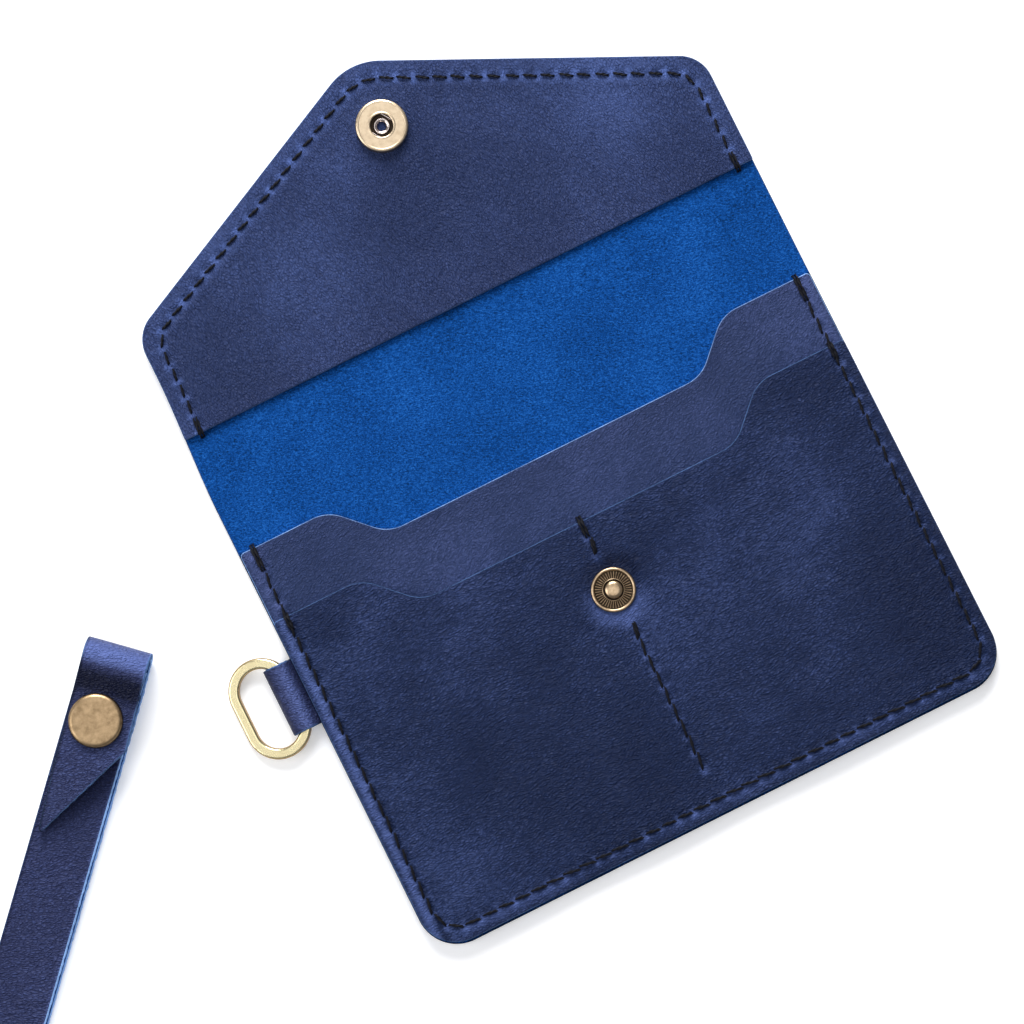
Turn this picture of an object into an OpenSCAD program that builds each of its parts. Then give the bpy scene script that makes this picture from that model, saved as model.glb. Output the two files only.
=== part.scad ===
// Wristlet wallet of folded leather, lying open, with its wrist strap unsnapped beside it.
// The wallet lies on the plane z = 0, inside up. X runs across it, Y towards the flap's tip,
// and the origin is under the middle of the wallet's back. The flap rests on its snap's cap,
// so it rises slightly from the fold. It closes over two creases, one on each side of a spine.

/* [Leather] */
// Thickness of the outer leather and of the strap
outer_t = 1.5; // [1.2:0.1:2]
// Thickness of the pocket panels and of the flap's lining
panel_t = 1.2; // [0.8:0.1:1.6]
// Room between two panels that lie on each other
panel_gap = 0.15; // [0.1:0.05:0.4]

/* [Wallet] */
// Width of the wallet
wallet_w = 146.8; // [130:0.2:170]
// Height of the closed wallet, from its bottom edge to its fold line
wallet_h = 117; // [110:0.5:130]
// Radius of the two bottom corners
corner_r = 9.5; // [7:0.5:14]
// How far the pocket panels stop short of the outer leather at the bottom
bottom_step = 0.7; // [0.2:0.1:1.5]
// How far the pocket panels stop short of the outer leather at the sides
side_step = 0.3; // [0.1:0.1:1]

/* [Pockets] */
// From the fold line down to the top of the inner pocket
inner_pocket_drop = 14.2; // [12:0.1:16]
// From the fold line down to the top of the front pocket
front_pocket_drop = 31.7; // [28:0.1:36]
// Depth of the thumb recess in each pocket's top edge
recess_depth = 10.6; // [8:0.1:12]
// Width of the recess, halfway down its sides
recess_w = 90.8; // [80:0.2:100]
// Radius of the recess's curves
recess_r = 9; // [6:0.5:10]
// Slope of the recess's sides
recess_slope = 45; // [35:1:55]

/* [Flap] */
// From the fold line to the point where the flap's two slanting edges would meet
flap_reach = 76.7; // [70:0.1:80]
// Slope of the slanting edges
flap_slope = 25.5; // [20:0.5:28]
// Radius of the flap's shoulders
shoulder_r = 8; // [5:0.5:12]
// Radius of the flap's tip
tip_r = 15; // [8:0.5:20]
// From the fold line up to the lining's lower edge
lining_drop = 14.9; // [12:0.1:20]

/* [Seams] */
// Distance of the side seams from the edge
side_inset = 3.7; // [3:0.1:5]
// Distance of the bottom seam from the edge
bottom_inset = 4.1; // [3:0.1:5]
// Distance of the flap's seam from the edge
flap_inset = 4.1; // [3:0.1:5]
// Distance from one stitch to the next
stitch_pitch = 4.15; // [3:0.05:5]
// Length of one stitch
stitch_len = 3.3; // [2:0.1:3.6]
// Width of a stitch
thread_w = 0.8; // [0.5:0.1:1]

/* [Snaps] */
// From the fold line to the middle of the stud on one side, and of the socket on the other
snap_reach = 59.65; // [55:0.05:65]
// Radius of a snap's cap
cap_r = 6.25; // [5:0.05:7]
// Height of a snap's cap
cap_h = 1.6; // [1:0.1:2.5]
// Radius of a snap's socket
socket_r = 6.15; // [5:0.05:7]
// Height of a snap's socket
socket_h = 2.2; // [2:0.1:3]
// Radius of a snap's stud at its base
stud_r = 5.3; // [4.5:0.05:6]
// Radius of the stud's head
stud_head_r = 2.05; // [1.8:0.05:2.1]

/* [Ring] */
// From the fold line down to the middle of the ring
ring_drop = 48.9; // [40:0.1:60]
// Outer length of the oval ring
ring_len = 24.1; // [22:0.1:28]
// Outer width of the oval ring
ring_w = 15.4; // [14:0.1:18]
// Width of the ring's band
band_w = 2.5; // [2:0.1:2.6]
// Thickness of the ring's band
band_h = 2.2; // [1.8:0.1:2.2]
// Width of the leather tab that holds the ring
tab_w = 16.3; // [12:0.1:16.5]
// Thickness of the tab's leather
tab_t = 1; // [0.8:0.1:1.2]

/* [Wrist strap] */
// Width of the strap
strap_w = 15.2; // [12:0.1:18]
// Length of the strap, from its top fold to the end of its loop
strap_len = 155; // [140:1:190]
// From the top fold to the middle of the snap
strap_snap = 18; // [14:0.5:22]
// Length of the snapping end along its short edge
strap_tab_short = 23; // [22:0.5:30]
// Length of the snapping end along its long edge
strap_tab_long = 45.6; // [38:0.2:50]
// Inner radius of the loop's far end
strap_end_r = 4; // [3:0.5:8]
// Where the middle of the strap's top fold lies
strap_at = [-106.6, 38];
// Turn of the strap, seen from above
strap_turn = -42.3; // [-60:0.1:-30]

/* [Hidden] */

$fn = 64;
CUT = 1;              // how far a cutting shape runs past what it cuts
CREASE = 0.2;         // bare room at a crease, on each side of it

navy = [0.17, 0.21, 0.37];
suede = [0.04, 0.29, 0.63];
lining_navy = [0.2, 0.24, 0.42];
thread_black = [0.05, 0.05, 0.09];
antique_brass = [0.72, 0.6, 0.42];
pale_brass = [0.86, 0.78, 0.62];
spring_steel = [0.6, 0.58, 0.56];
pale_gold = [0.95, 0.87, 0.66];

// Levels of the stack of leather
inner_z = outer_t + panel_gap;
front_z = inner_z + panel_t + panel_gap;
stack_z = front_z + panel_t;

// Heights inside a snap
stud_rim_h = 0.9;
stud_h = 2.4;
snap_gap = 0.15;
snap_stack = stud_rim_h + snap_gap + socket_h;

// Places along Y
fold_y = wallet_h / 2;
bottom_y = -wallet_h / 2;
inner_top = fold_y - inner_pocket_drop;
front_top = fold_y - front_pocket_drop;
stud_y = fold_y - snap_reach;
socket_y = fold_y + snap_reach;
lining_y = fold_y + lining_drop;
tip_y = fold_y + flap_reach;

// The spine between the two creases holds the closed flap clear of the pockets
spine_w = stack_z - outer_t + snap_stack + panel_t;
crease_a = fold_y - spine_w / 2;
crease_b = fold_y + spine_w / 2;
flap_lift = asin(cap_h / (socket_y - crease_b + spine_w / 2));

// Holes and hollows for the snaps' posts
stud_post_r = 1.15;
stud_hole_r = 1.4;
stud_post_room = 1.5;  // depth of the hole in the stud
post_flange_r = 4.5;
post_flange_t = 0.35;
flange_recess = 0.4;
cap_post_r = 1.65;
cap_hole_r = 1.8;
socket_mouth_r = 2.7;
socket_floor = 0.4;
socket_lip = 0.5;
socket_room_r = 4.2;
wire_r = 0.22;
wire_x = 2.45;
wire_arc_r = 3.8;

// Stitching
stitch_h = 0.3;
groove_w = 1.2;
groove_h = 0.4;
divider_low = -47;
divider_stud_gap = 9;
divider_upper = 2;     // stitches above the stud
divider_lower = floor((stud_y - divider_stud_gap - divider_low) / stitch_pitch);

// The ring and its tab
loop_in_r = 2.25;
loop_out_r = loop_in_r + tab_t;
loop_gap = 0.25;
loop_x = -(wallet_w / 2 + loop_gap + loop_out_r);
tab_y = fold_y - ring_drop;
tab_insert = 8;
tab_room = 0.25;
neck_t = front_z - outer_t - 0.1;
band_edge_r = 0.6;
bar_offset = 0.83;     // from the middle of the tab's loop to the middle of the ring's bar
ring_straight = ring_len - ring_w;
far_bar = ring_w - band_w - bar_offset;
ring_tilt = asin((loop_out_r - band_h / 2) / (far_bar + band_w / 2 - band_edge_r));

// Levels and lengths along the wrist strap
strap_upper = outer_t + 0.1;
strap_top = strap_upper + outer_t;
strap_tab_z = strap_top + snap_stack;
strap_return = 2.5;    // where the upper run ends, from the top fold
strap_rise = 100;      // where the upper run begins to rise towards the loop's end
tab_bend = 25;         // where the snapping end begins to dip
tab_dip = 2.9;
strap_tip_r = 1.5;

// --- Outlines -------------------------------------------------------------------------------

function unit(v) = v / norm(v);
function turned(v, a) = [v[0] * cos(a) - v[1] * sin(a), v[0] * sin(a) + v[1] * cos(a)];

// The arc of radius r that rounds the corner q between its neighbours p and s
function corner(p, q, s, r, steps = 10) =
    let (u = unit(p - q), v = unit(s - q))
    let (half = acos(u * v) / 2)
    let (centre = q + unit(u + v) * r / sin(half))
    let (from = q + u * r / tan(half) - centre)
    let (turn = (cross(u, v) < 0 ? 1 : -1) * (180 - 2 * half))
    [for (i = [0:steps]) centre + turned(from, turn * i / steps)];

// A closed outline with a radius at each corner, where 0 keeps the corner sharp
function rounded(points, radii) =
    let (n = len(points))
    [for (i = [0:n - 1]) each
        radii[i] == 0 ? [points[i]]
        : corner(points[(i + n - 1) % n], points[i], points[(i + 1) % n], radii[i])];

// The wallet's outline up to the height top, drawn in by side at the sides and low at the bottom
function body_outline(side, low, top) =
    let (x = wallet_w / 2 - side, y = bottom_y + low, r = corner_r - side)
    rounded([[-x, top], [-x, y], [x, y], [x, top]], [0, r, r, 0]);

// A pocket panel: the wallet's outline with a thumb recess in its top edge
function pocket_outline(top) =
    let (x = wallet_w / 2 - side_step, y = bottom_y + bottom_step, r = corner_r - side_step)
    let (run = recess_depth / 2 / tan(recess_slope))
    let (outer = recess_w / 2 + run, inner = recess_w / 2 - run, dip = top - recess_depth)
    rounded(
        [[-x, y], [x, y], [x, top], [outer, top], [inner, dip], [-inner, dip], [-outer, top], [-x, top]],
        [r, r, 1, recess_r, recess_r, recess_r, recess_r, 1]);

// The flap's outline above the height low, drawn in by inset
function flap_outline(inset, low) =
    let (x = wallet_w / 2 - inset, tip = tip_y - inset / cos(flap_slope))
    let (shoulder = tip - x * tan(flap_slope))
    rounded([[-x, low], [x, low], [x, shoulder], [0, tip], [-x, shoulder]],
            [0, 0, shoulder_r - inset / 2, tip_r - inset, shoulder_r - inset / 2]);

// The outline of a strip of thickness t whose middle follows the points
function strip_outline(points, t) =
    let (last = len(points) - 1)
    let (sides = [for (i = [0:last])
        turned(unit(points[min(i + 1, last)] - points[max(i - 1, 0)]), 90) * t / 2])
    concat([for (i = [0:last]) points[i] + sides[i]],
           [for (i = [last:-1:0]) points[i] - sides[i]]);

// --- Stitches -------------------------------------------------------------------------------

function leg(path, i) = norm(path[i + 1] - path[i]);
function path_len(path, i = 0) = i > len(path) - 2 ? 0 : leg(path, i) + path_len(path, i + 1);

// The place and the direction at the distance s along a path
function along(path, s, i = 0) =
    s <= leg(path, i) || i == len(path) - 2
    ? let (d = path[i + 1] - path[i]) [path[i] + unit(d) * s, atan2(d[1], d[0])]
    : along(path, s - leg(path, i), i + 1);

pocket_seam = body_outline(side_inset, bottom_inset, inner_top);
over_front = front_top + stitch_len / 2 + 0.1;  // above this the stitches lie on the inner pocket
flap_low_seam = flap_outline(flap_inset, lining_y);
flap_seam = [for (i = [1:len(flap_low_seam)]) flap_low_seam[i % len(flap_low_seam)]];

module stitch() {
    linear_extrude(stitch_h) {
        square([stitch_len - thread_w, thread_w], center = true);
        for (side = [-1, 1])
            translate([side * (stitch_len - thread_w) / 2, 0]) circle(d = thread_w);
    }
}

// One stitch at each pitch along the path, at the height that level gives for its place
module stitches(path, level) {
    count = floor(path_len(path) / stitch_pitch);
    start = (path_len(path) - count * stitch_pitch) / 2;
    for (i = [0:count - 1]) {
        spot = along(path, start + (i + 0.5) * stitch_pitch);
        z = level != "pockets" ? level : spot[0][1] > over_front ? inner_z + panel_t : stack_z;
        translate([spot[0][0], spot[0][1], z]) rotate([0, 0, spot[1]]) stitch();
    }
}

// The groove that the stitches of a seam lie in, on the outer face
module groove(outer, inner) {
    translate([0, 0, -CUT])
        linear_extrude(groove_h + CUT)
            difference() {
                polygon(outer);
                polygon(inner);
            }
}

// --- Snap parts: each stands on its leather face at z = 0, facing its mate ------------------

module snap_socket() {
    rim = 0.5;
    rotate_extrude()
        difference() {
            union() {
                square([socket_r - rim, socket_h]);
                square([socket_r, socket_h - rim]);
                translate([socket_r - rim, socket_h - rim]) circle(rim);
            }
            square([socket_mouth_r, socket_h + CUT]);
            translate([0, socket_floor])
                square([socket_room_r, socket_h - socket_floor - socket_lip]);
        }
    rotate_extrude()
        translate([cap_hole_r, 0])
            square([socket_room_r - cap_hole_r, socket_floor]);
}

// The spring wire inside the socket: two bars joined round one side
module snap_spring() {
    half_len = sqrt(pow(wire_arc_r, 2) - pow(wire_x, 2));
    start = atan2(half_len, wire_x);
    translate([0, 0, (socket_floor + socket_h - socket_lip) / 2]) {
        for (side = [-1, 1])
            translate([side * wire_x, half_len, 0]) rotate([90, 0, 0])
                cylinder(h = 2 * half_len, r = wire_r);
        rotate([0, 0, start])
            rotate_extrude(angle = 180 - 2 * start)
                translate([wire_arc_r, 0]) circle(wire_r);
    }
}

// The cap: a dome on the outer face at z = 0, and a hollow post through leather of thickness t
module snap_cap(t) {
    edge = 12;
    wall = 0.4;
    roll_r = 0.35;
    post_top = t + socket_floor;
    rotate_extrude()
        polygon([for (i = [0:edge]) let (a = 90 * i / edge)
                     [cap_r * pow(sin(a), 0.6), -cap_h * pow(cos(a), 0.75)],
                 [0, 0]]);
    rotate_extrude()
        translate([cap_post_r - wall, 0]) square([wall, post_top + roll_r]);
    translate([0, 0, post_top + roll_r])
        rotate_extrude()
            translate([cap_post_r - roll_r + 0.1, 0]) circle(roll_r, $fn = 24);
}

// The stud: a rolled rim round a sunk ring, a neck and a domed head
module snap_stud() {
    floor_h = 0.35;
    rim_r = stud_rim_h / 2;
    neck_r = 1.65;
    head_z = 1.5;
    rotate_extrude()
        difference() {
            union() {
                square([stud_r - rim_r, floor_h]);
                translate([stud_r - rim_r, rim_r]) circle(rim_r);
                translate([2.5, 0]) square([0.3, 0.7]);
                square([neck_r, stud_h - 0.3]);
                intersection() {
                    translate([0, head_z]) square([stud_head_r, stud_h - head_z]);
                    translate([0, stud_h - 2.6]) circle(2.6);
                }
            }
            square([stud_post_r + 0.05, stud_post_room]);
            mirror([1, 0]) square([2 * stud_r, 2 * stud_h]);
        }
}

// The stud's post: a flat flange under leather of thickness t, and a tube up into the stud
module snap_post(t) {
    cylinder(h = post_flange_t, r = post_flange_r);
    cylinder(h = t + stud_post_room - 0.1, r = stud_post_r);
}

// --- Where the moving parts stand -----------------------------------------------------------

module on_spine() {
    translate([0, crease_a, outer_t]) rotate([flap_lift / 2, 0, 0])
        translate([0, -crease_a, -outer_t]) children();
}

module on_flap() {
    on_spine()
        translate([0, crease_b, outer_t]) rotate([flap_lift / 2, 0, 0])
            translate([0, -crease_b, -outer_t]) children();
}

module on_strap() {
    translate([strap_at[0], strap_at[1], 0]) rotate([0, 0, strap_turn]) children();
}

// --- The wallet's body ----------------------------------------------------------------------

module outer_leather_back() color(suede)
    difference() {
        linear_extrude(outer_t) polygon(body_outline(0, 0, crease_a - CREASE));
        groove(body_outline(side_inset - groove_w / 2, bottom_inset - groove_w / 2, inner_top),
               body_outline(side_inset + groove_w / 2, bottom_inset + groove_w / 2, inner_top + CUT));
    }

module inner_pocket_panel() color(lining_navy)
    difference() {
        translate([0, 0, inner_z]) linear_extrude(panel_t) polygon(pocket_outline(inner_top));
        tab_notch();
        translate([-groove_w / 2, divider_low, inner_z - CUT])
            cube([groove_w, front_top - recess_depth + CUT - divider_low, groove_h + CUT]);
    }

// Where the ring's tab lies between the outer leather and the front pocket
module tab_notch() {
    translate([-wallet_w / 2 - CUT, tab_y - tab_w / 2 - tab_room, 0])
        cube([tab_insert + tab_room + CUT, tab_w + 2 * tab_room, stack_z]);
}

module front_pocket_panel() color(navy)
    difference() {
        translate([0, 0, front_z]) linear_extrude(panel_t) polygon(pocket_outline(front_top));
        translate([0, stud_y, 0]) cylinder(h = 2 * stack_z, r = stud_hole_r);
        translate([0, stud_y, front_z - CUT])
            cylinder(h = flange_recess + CUT, r = post_flange_r + 0.1);
    }

module ring_tab() color(navy)
    translate([0, tab_y + tab_w / 2, 0]) rotate([90, 0, 0])
        linear_extrude(tab_w)
            difference() {
                union() {
                    translate([loop_x, loop_out_r]) circle(loop_out_r);
                    translate([loop_x, outer_t + 0.05])
                        square([-wallet_w / 2 + tab_insert - loop_x, neck_t]);
                }
                translate([loop_x, loop_out_r]) circle(loop_in_r);
            }

module pocket_seam_thread() color(thread_black) {
    stitches(pocket_seam, "pockets");
    stitches(pocket_seam, groove_h - stitch_h);
}

module divider_seam_thread() color(thread_black) {
    upper = front_top - recess_depth;
    lower = stud_y - divider_stud_gap;
    for (z = [stack_z, inner_z + groove_h - stitch_h]) {
        stitches([[0, upper], [0, upper - divider_upper * stitch_pitch - 0.01]], z);
        stitches([[0, lower], [0, lower - divider_lower * stitch_pitch - 0.01]], z);
    }
}

module wallet_snap_stud() color(pale_brass)
    translate([0, stud_y, stack_z]) snap_stud();

module wallet_snap_post() color(antique_brass)
    translate([0, stud_y, front_z]) snap_post(panel_t);

// --- The spine and the flap -----------------------------------------------------------------

module outer_leather_spine() color(suede)
    on_spine()
        translate([-wallet_w / 2, crease_a + CREASE, 0])
            cube([wallet_w, spine_w - 2 * CREASE, outer_t]);

module outer_leather_flap() color(suede)
    on_flap()
        difference() {
            linear_extrude(outer_t) polygon(flap_outline(0, crease_b + CREASE));
            groove(flap_outline(flap_inset - groove_w / 2, lining_y),
                   flap_outline(flap_inset + groove_w / 2, lining_y - CUT));
            translate([0, socket_y, -CUT]) cylinder(h = outer_t + 2 * CUT, r = cap_hole_r);
        }

module flap_lining() color(lining_navy)
    on_flap()
        difference() {
            translate([0, 0, outer_t]) linear_extrude(panel_t) polygon(flap_outline(0, lining_y));
            translate([0, socket_y, 0]) cylinder(h = 2 * stack_z, r = cap_hole_r);
        }

module flap_seam_thread() color(thread_black)
    on_flap() {
        stitches(flap_seam, outer_t + panel_t);
        stitches(flap_seam, groove_h - stitch_h);
    }

module flap_snap_cap() color(antique_brass)
    on_flap() translate([0, socket_y, 0]) snap_cap(outer_t + panel_t);

module flap_snap_socket() color(pale_brass)
    on_flap() translate([0, socket_y, outer_t + panel_t]) snap_socket();

module flap_snap_spring() color(spring_steel)
    on_flap() translate([0, socket_y, outer_t + panel_t]) rotate([0, 0, 35]) snap_spring();

// --- The oval ring --------------------------------------------------------------------------

// The band's section, with its middle on the origin
module band_section() {
    square([band_w - 2 * band_edge_r, band_h], center = true);
    square([band_w, band_h - 2 * band_edge_r], center = true);
    for (x = [-1, 1], y = [-1, 1])
        translate([x * (band_w / 2 - band_edge_r), y * (band_h / 2 - band_edge_r)])
            circle(band_edge_r, $fn = 32);
}

module oval_ring() color(pale_gold) {
    mid_r = (ring_w - band_w) / 2;
    translate([loop_x, tab_y, loop_out_r]) rotate([0, -ring_tilt, 0])
        translate([bar_offset - mid_r, 0, 0])
            for (side = [0, 180])
                rotate([0, 0, side]) {
                    translate([0, ring_straight / 2, 0])
                        rotate_extrude(angle = 180) translate([mid_r, 0]) band_section();
                    translate([mid_r, ring_straight / 2, 0]) rotate([90, 0, 0])
                        linear_extrude(ring_straight) band_section();
                }
}

// --- The wrist strap ------------------------------------------------------------------------

// A strip as wide as the strap, from its outline along the strap (Y) and up (Z)
module strap_strip(outline) {
    translate([-strap_w / 2, 0, 0]) rotate([90, 0, 90]) linear_extrude(strap_w) polygon(outline);
}

// The middle line of the strap's loop: out along the upper run, round the end, back underneath
// to the top fold
function loop_line() =
    let (end_r = strap_end_r + outer_t / 2)
    let (end_y = -strap_len + strap_end_r + outer_t, end_z = strap_end_r + outer_t)
    let (low = outer_t / 2, high = strap_upper + outer_t / 2, top = end_z + end_r)
    concat(
        [[-strap_return, high]],
        [for (i = [0:12]) [-strap_rise + (end_y + strap_rise) * i / 12,
                           high + (top - high) * (1 - cos(15 * i)) / 2]],
        [for (i = [1:15]) [end_y - end_r * sin(12 * i), end_z + end_r * cos(12 * i)]],
        [[-outer_t - CREASE, low]]);

module wrist_strap_loop() color(navy)
    on_strap()
        difference() {
            strap_strip(strip_outline(loop_line(), outer_t));
            translate([0, -strap_snap, -CUT]) cylinder(h = strap_top + 2 * CUT, r = stud_hole_r);
            translate([0, -strap_snap, -CUT])
                cylinder(h = flange_recess + CUT, r = post_flange_r + 0.1);
        }

module strap_snap_stud() color(pale_brass)
    on_strap() translate([0, -strap_snap, strap_top]) snap_stud();

module strap_snap_post() color(antique_brass)
    on_strap() translate([0, -strap_snap, 0]) snap_post(strap_top);

module wrist_strap_fold() color(navy)
    on_strap()
        translate([-strap_w / 2, -outer_t, outer_t + CREASE])
            cube([strap_w, outer_t, strap_tab_z - outer_t - 2 * CREASE]);

// The snapping end: flat under its cap, then dipping to its slanting point
module wrist_strap_tab() color(navy)
    on_strap()
        difference() {
            strap_strip([
                [-outer_t - CREASE, strap_tab_z], [-tab_bend, strap_tab_z],
                [-strap_tab_long, strap_tab_z - tab_dip],
                [-strap_tab_long, strap_tab_z - tab_dip + outer_t],
                [-tab_bend, strap_tab_z + outer_t], [-outer_t - CREASE, strap_tab_z + outer_t]
            ]);
            translate([0, 0, strap_top]) linear_extrude(2 * snap_stack)
                polygon([[strap_w / 2 + CUT, -strap_tab_short],
                         [strap_w / 2, -strap_tab_short],
                         [-strap_w / 2 + strap_tip_r, -strap_tab_long],
                         [-strap_w / 2 + strap_tip_r, -strap_tab_long - CUT],
                         [strap_w / 2 + CUT, -strap_tab_long - CUT]]);
            translate([0, -strap_snap, strap_top]) cylinder(h = 2 * snap_stack, r = cap_hole_r);
        }

// The strap's snap faces down, so its cap is on top
module on_strap_snap() {
    on_strap() translate([0, -strap_snap, strap_tab_z]) mirror([0, 0, 1]) children();
}

module strap_snap_cap() color(antique_brass)
    on_strap_snap() translate([0, 0, -outer_t]) snap_cap(outer_t);

module strap_snap_socket() color(pale_brass)
    on_strap_snap() snap_socket();

module strap_snap_spring() color(spring_steel)
    on_strap_snap() snap_spring();

outer_leather_back();
inner_pocket_panel();
front_pocket_panel();
ring_tab();
pocket_seam_thread();
divider_seam_thread();
wallet_snap_stud();
wallet_snap_post();
outer_leather_spine();
outer_leather_flap();
flap_lining();
flap_seam_thread();
flap_snap_cap();
flap_snap_socket();
flap_snap_spring();
oval_ring();
wrist_strap_loop();
strap_snap_stud();
strap_snap_post();
wrist_strap_fold();
wrist_strap_tab();
strap_snap_cap();
strap_snap_socket();
strap_snap_spring();
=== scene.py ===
"""Looks of the wristlet wallet: leather sheets, seams, snaps, ring and wrist strap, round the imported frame.

Lengths are in millimetres, and become metres where a mesh is made. Pieces of the wallet and its flap are
drawn as if the leather lay flat, and settle() then gives them the flap's slight rise from its creases.
"""

import math

import bmesh
import bpy
import numpy as np
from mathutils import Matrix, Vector


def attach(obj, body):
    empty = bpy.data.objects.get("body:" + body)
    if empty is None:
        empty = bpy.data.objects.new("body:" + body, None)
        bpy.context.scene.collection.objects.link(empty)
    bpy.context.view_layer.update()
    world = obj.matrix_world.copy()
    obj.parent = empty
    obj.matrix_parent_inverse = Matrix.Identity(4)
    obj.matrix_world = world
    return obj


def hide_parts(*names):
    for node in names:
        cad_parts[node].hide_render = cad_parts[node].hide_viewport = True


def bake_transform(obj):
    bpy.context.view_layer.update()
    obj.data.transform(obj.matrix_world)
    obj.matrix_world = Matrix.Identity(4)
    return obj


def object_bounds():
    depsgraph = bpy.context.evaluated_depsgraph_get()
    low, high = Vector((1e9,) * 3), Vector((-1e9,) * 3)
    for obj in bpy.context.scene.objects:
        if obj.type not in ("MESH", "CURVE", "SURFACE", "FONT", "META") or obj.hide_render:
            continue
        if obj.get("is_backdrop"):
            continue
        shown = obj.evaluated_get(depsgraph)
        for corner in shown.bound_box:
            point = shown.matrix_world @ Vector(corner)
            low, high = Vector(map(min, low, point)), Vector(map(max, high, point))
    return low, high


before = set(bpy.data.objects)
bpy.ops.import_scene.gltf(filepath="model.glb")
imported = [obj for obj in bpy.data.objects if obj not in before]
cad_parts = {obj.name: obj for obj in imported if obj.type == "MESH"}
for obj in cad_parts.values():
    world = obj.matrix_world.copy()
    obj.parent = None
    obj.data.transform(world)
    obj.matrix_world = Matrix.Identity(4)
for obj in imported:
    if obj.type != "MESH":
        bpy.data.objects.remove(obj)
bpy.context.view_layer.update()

MM = 0.001

# --- Sizes, as in the CAD model ---

OUTER_T = 1.5
INNER_Z = (1.65, 2.85)  # underside and top of the inner pocket
FRONT_Z = (3.0, 4.2)  # underside and top of the front pocket
LINING_Z = (1.5, 2.7)  # underside and top of the lining, on the flat flap

HALF_W = 73.4
BOTTOM_Y = -58.5
FOLD_Y = 58.5
CORNER_R = 9.5
SIDE_STEP = 0.3
BOTTOM_STEP = 0.7
INNER_TOP = 44.3
FRONT_TOP = 26.8
RECESS_DEPTH = 10.6
RECESS_HALF = 45.4  # half the recess's width, halfway down its sides
RECESS_R = 9.0

LINING_Y = 73.4
TIP_Y = 135.2  # where the flap's slanting edges would meet
FLAP_SLOPE = math.radians(25.5)
SHOULDER_R = 8.0
TIP_R = 15.0

CREASE_A = 54.925  # Y of the crease between the back and the spine
CREASE_B = 62.075  # and of the one between the spine and the flap
CREASE_REACH = 3.0  # the leather bends over this distance on each side of a crease
CREASE_TILT = math.radians(1.5371) / 2  # half the open flap's rise, at each crease

STUD_Y = -1.15
SOCKET_Y = 118.15
SIDE_SEAM = 3.7  # distance of the side seams from the edge
EDGE_SEAM = 4.1  # distance of the bottom and flap seams from the edge
STITCH_PITCH = 4.15

TAB_Y = 9.6
TAB_W = 16.3
LOOP_X = -76.9  # middle of the ring's bar, inside the tab
LOOP_Z = 3.25

STRAP_AT = (-106.6, 38.0)  # middle of the strap's top fold
STRAP_TURN = math.radians(-42.3)
STRAP_W = 15.2
STRAP_LEN = 155.0
STRAP_SNAP = 18.0  # from the fold to the middle of the snap
STRAP_MID_Z = 2.35  # middle of the strap's upper run
STRAP_TAB_Z = 7.1  # middle of its snapping end
STRAP_TOP = 3.1  # top of the upper run, where the stud sits
FLAP_NARROWING = 1.4  # how far the flap's left edge stands in from the wallet's


# --- Meshes ---

def make_piece(name, points, faces, materials, material_of=None, tone=None, sharp=40):
    """A mesh object from points in millimetres. tone is how pale (above 0) or dark each point is."""
    points = np.asarray(points, float)
    mesh = bpy.data.meshes.new(name)
    mesh.from_pydata((points * MM).tolist(), [], faces)
    for material in materials:
        mesh.materials.append(material)
    if material_of is not None:
        mesh.polygons.foreach_set("material_index", np.asarray(material_of, np.int32))
    rest = mesh.attributes.new("rest", "FLOAT_VECTOR", "POINT")
    rest.data.foreach_set("vector", points.astype(np.float32).ravel())
    shade = mesh.attributes.new("tone", "FLOAT", "POINT")
    values = np.zeros(len(points)) if tone is None else np.asarray(tone, float)
    shade.data.foreach_set("value", values.astype(np.float32))
    mesh.update()
    shape = bmesh.new()
    shape.from_mesh(mesh)
    bmesh.ops.recalc_face_normals(shape, faces=shape.faces)
    shape.to_mesh(mesh)
    shape.free()
    mesh.shade_smooth()
    mesh.set_sharp_from_angle(angle=math.radians(sharp))
    piece = bpy.data.objects.new(name, mesh)
    bpy.context.scene.collection.objects.link(piece)
    return piece


def stands_for(piece, slot, *nodes, body=None):
    """The piece replaces those CAD nodes and rides on the body if one is named. slot is not used."""
    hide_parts(*nodes)
    if body is not None:
        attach(piece, body)


def settle(points):
    """Points of the flat layout, moved to where they lie: the flap is a little narrower, and has risen."""
    settled = np.array(points, float)
    flat_y = settled[:, 1].copy()
    leftness = np.clip(-settled[:, 0] / HALF_W, 0, 1)
    settled[:, 0] += FLAP_NARROWING * leftness * smoothstep((flat_y - CREASE_A) / 35)
    for crease in (CREASE_B, CREASE_A):
        share = smoothstep((flat_y - crease + CREASE_REACH) / (2 * CREASE_REACH))
        turn = share * CREASE_TILT
        y = settled[:, 1] - crease
        z = settled[:, 2] - OUTER_T
        settled[:, 1] = crease + y * np.cos(turn) - z * np.sin(turn)
        settled[:, 2] = OUTER_T + y * np.sin(turn) + z * np.cos(turn)
    return settled


def on_strap(points):
    """Points of the strap's own frame, moved to where the strap lies."""
    x, y, z = np.array(points, float).T
    cos, sin = math.cos(STRAP_TURN), math.sin(STRAP_TURN)
    return np.column_stack([STRAP_AT[0] + x * cos - y * sin, STRAP_AT[1] + x * sin + y * cos, z])


def smoothstep(t):
    t = np.clip(t, 0, 1)
    return t * t * (3 - 2 * t)


def bump(distance, width):
    """A smooth hill of height 1, with its middle where distance is 0."""
    return np.exp(-(distance / width) ** 2)


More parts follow.
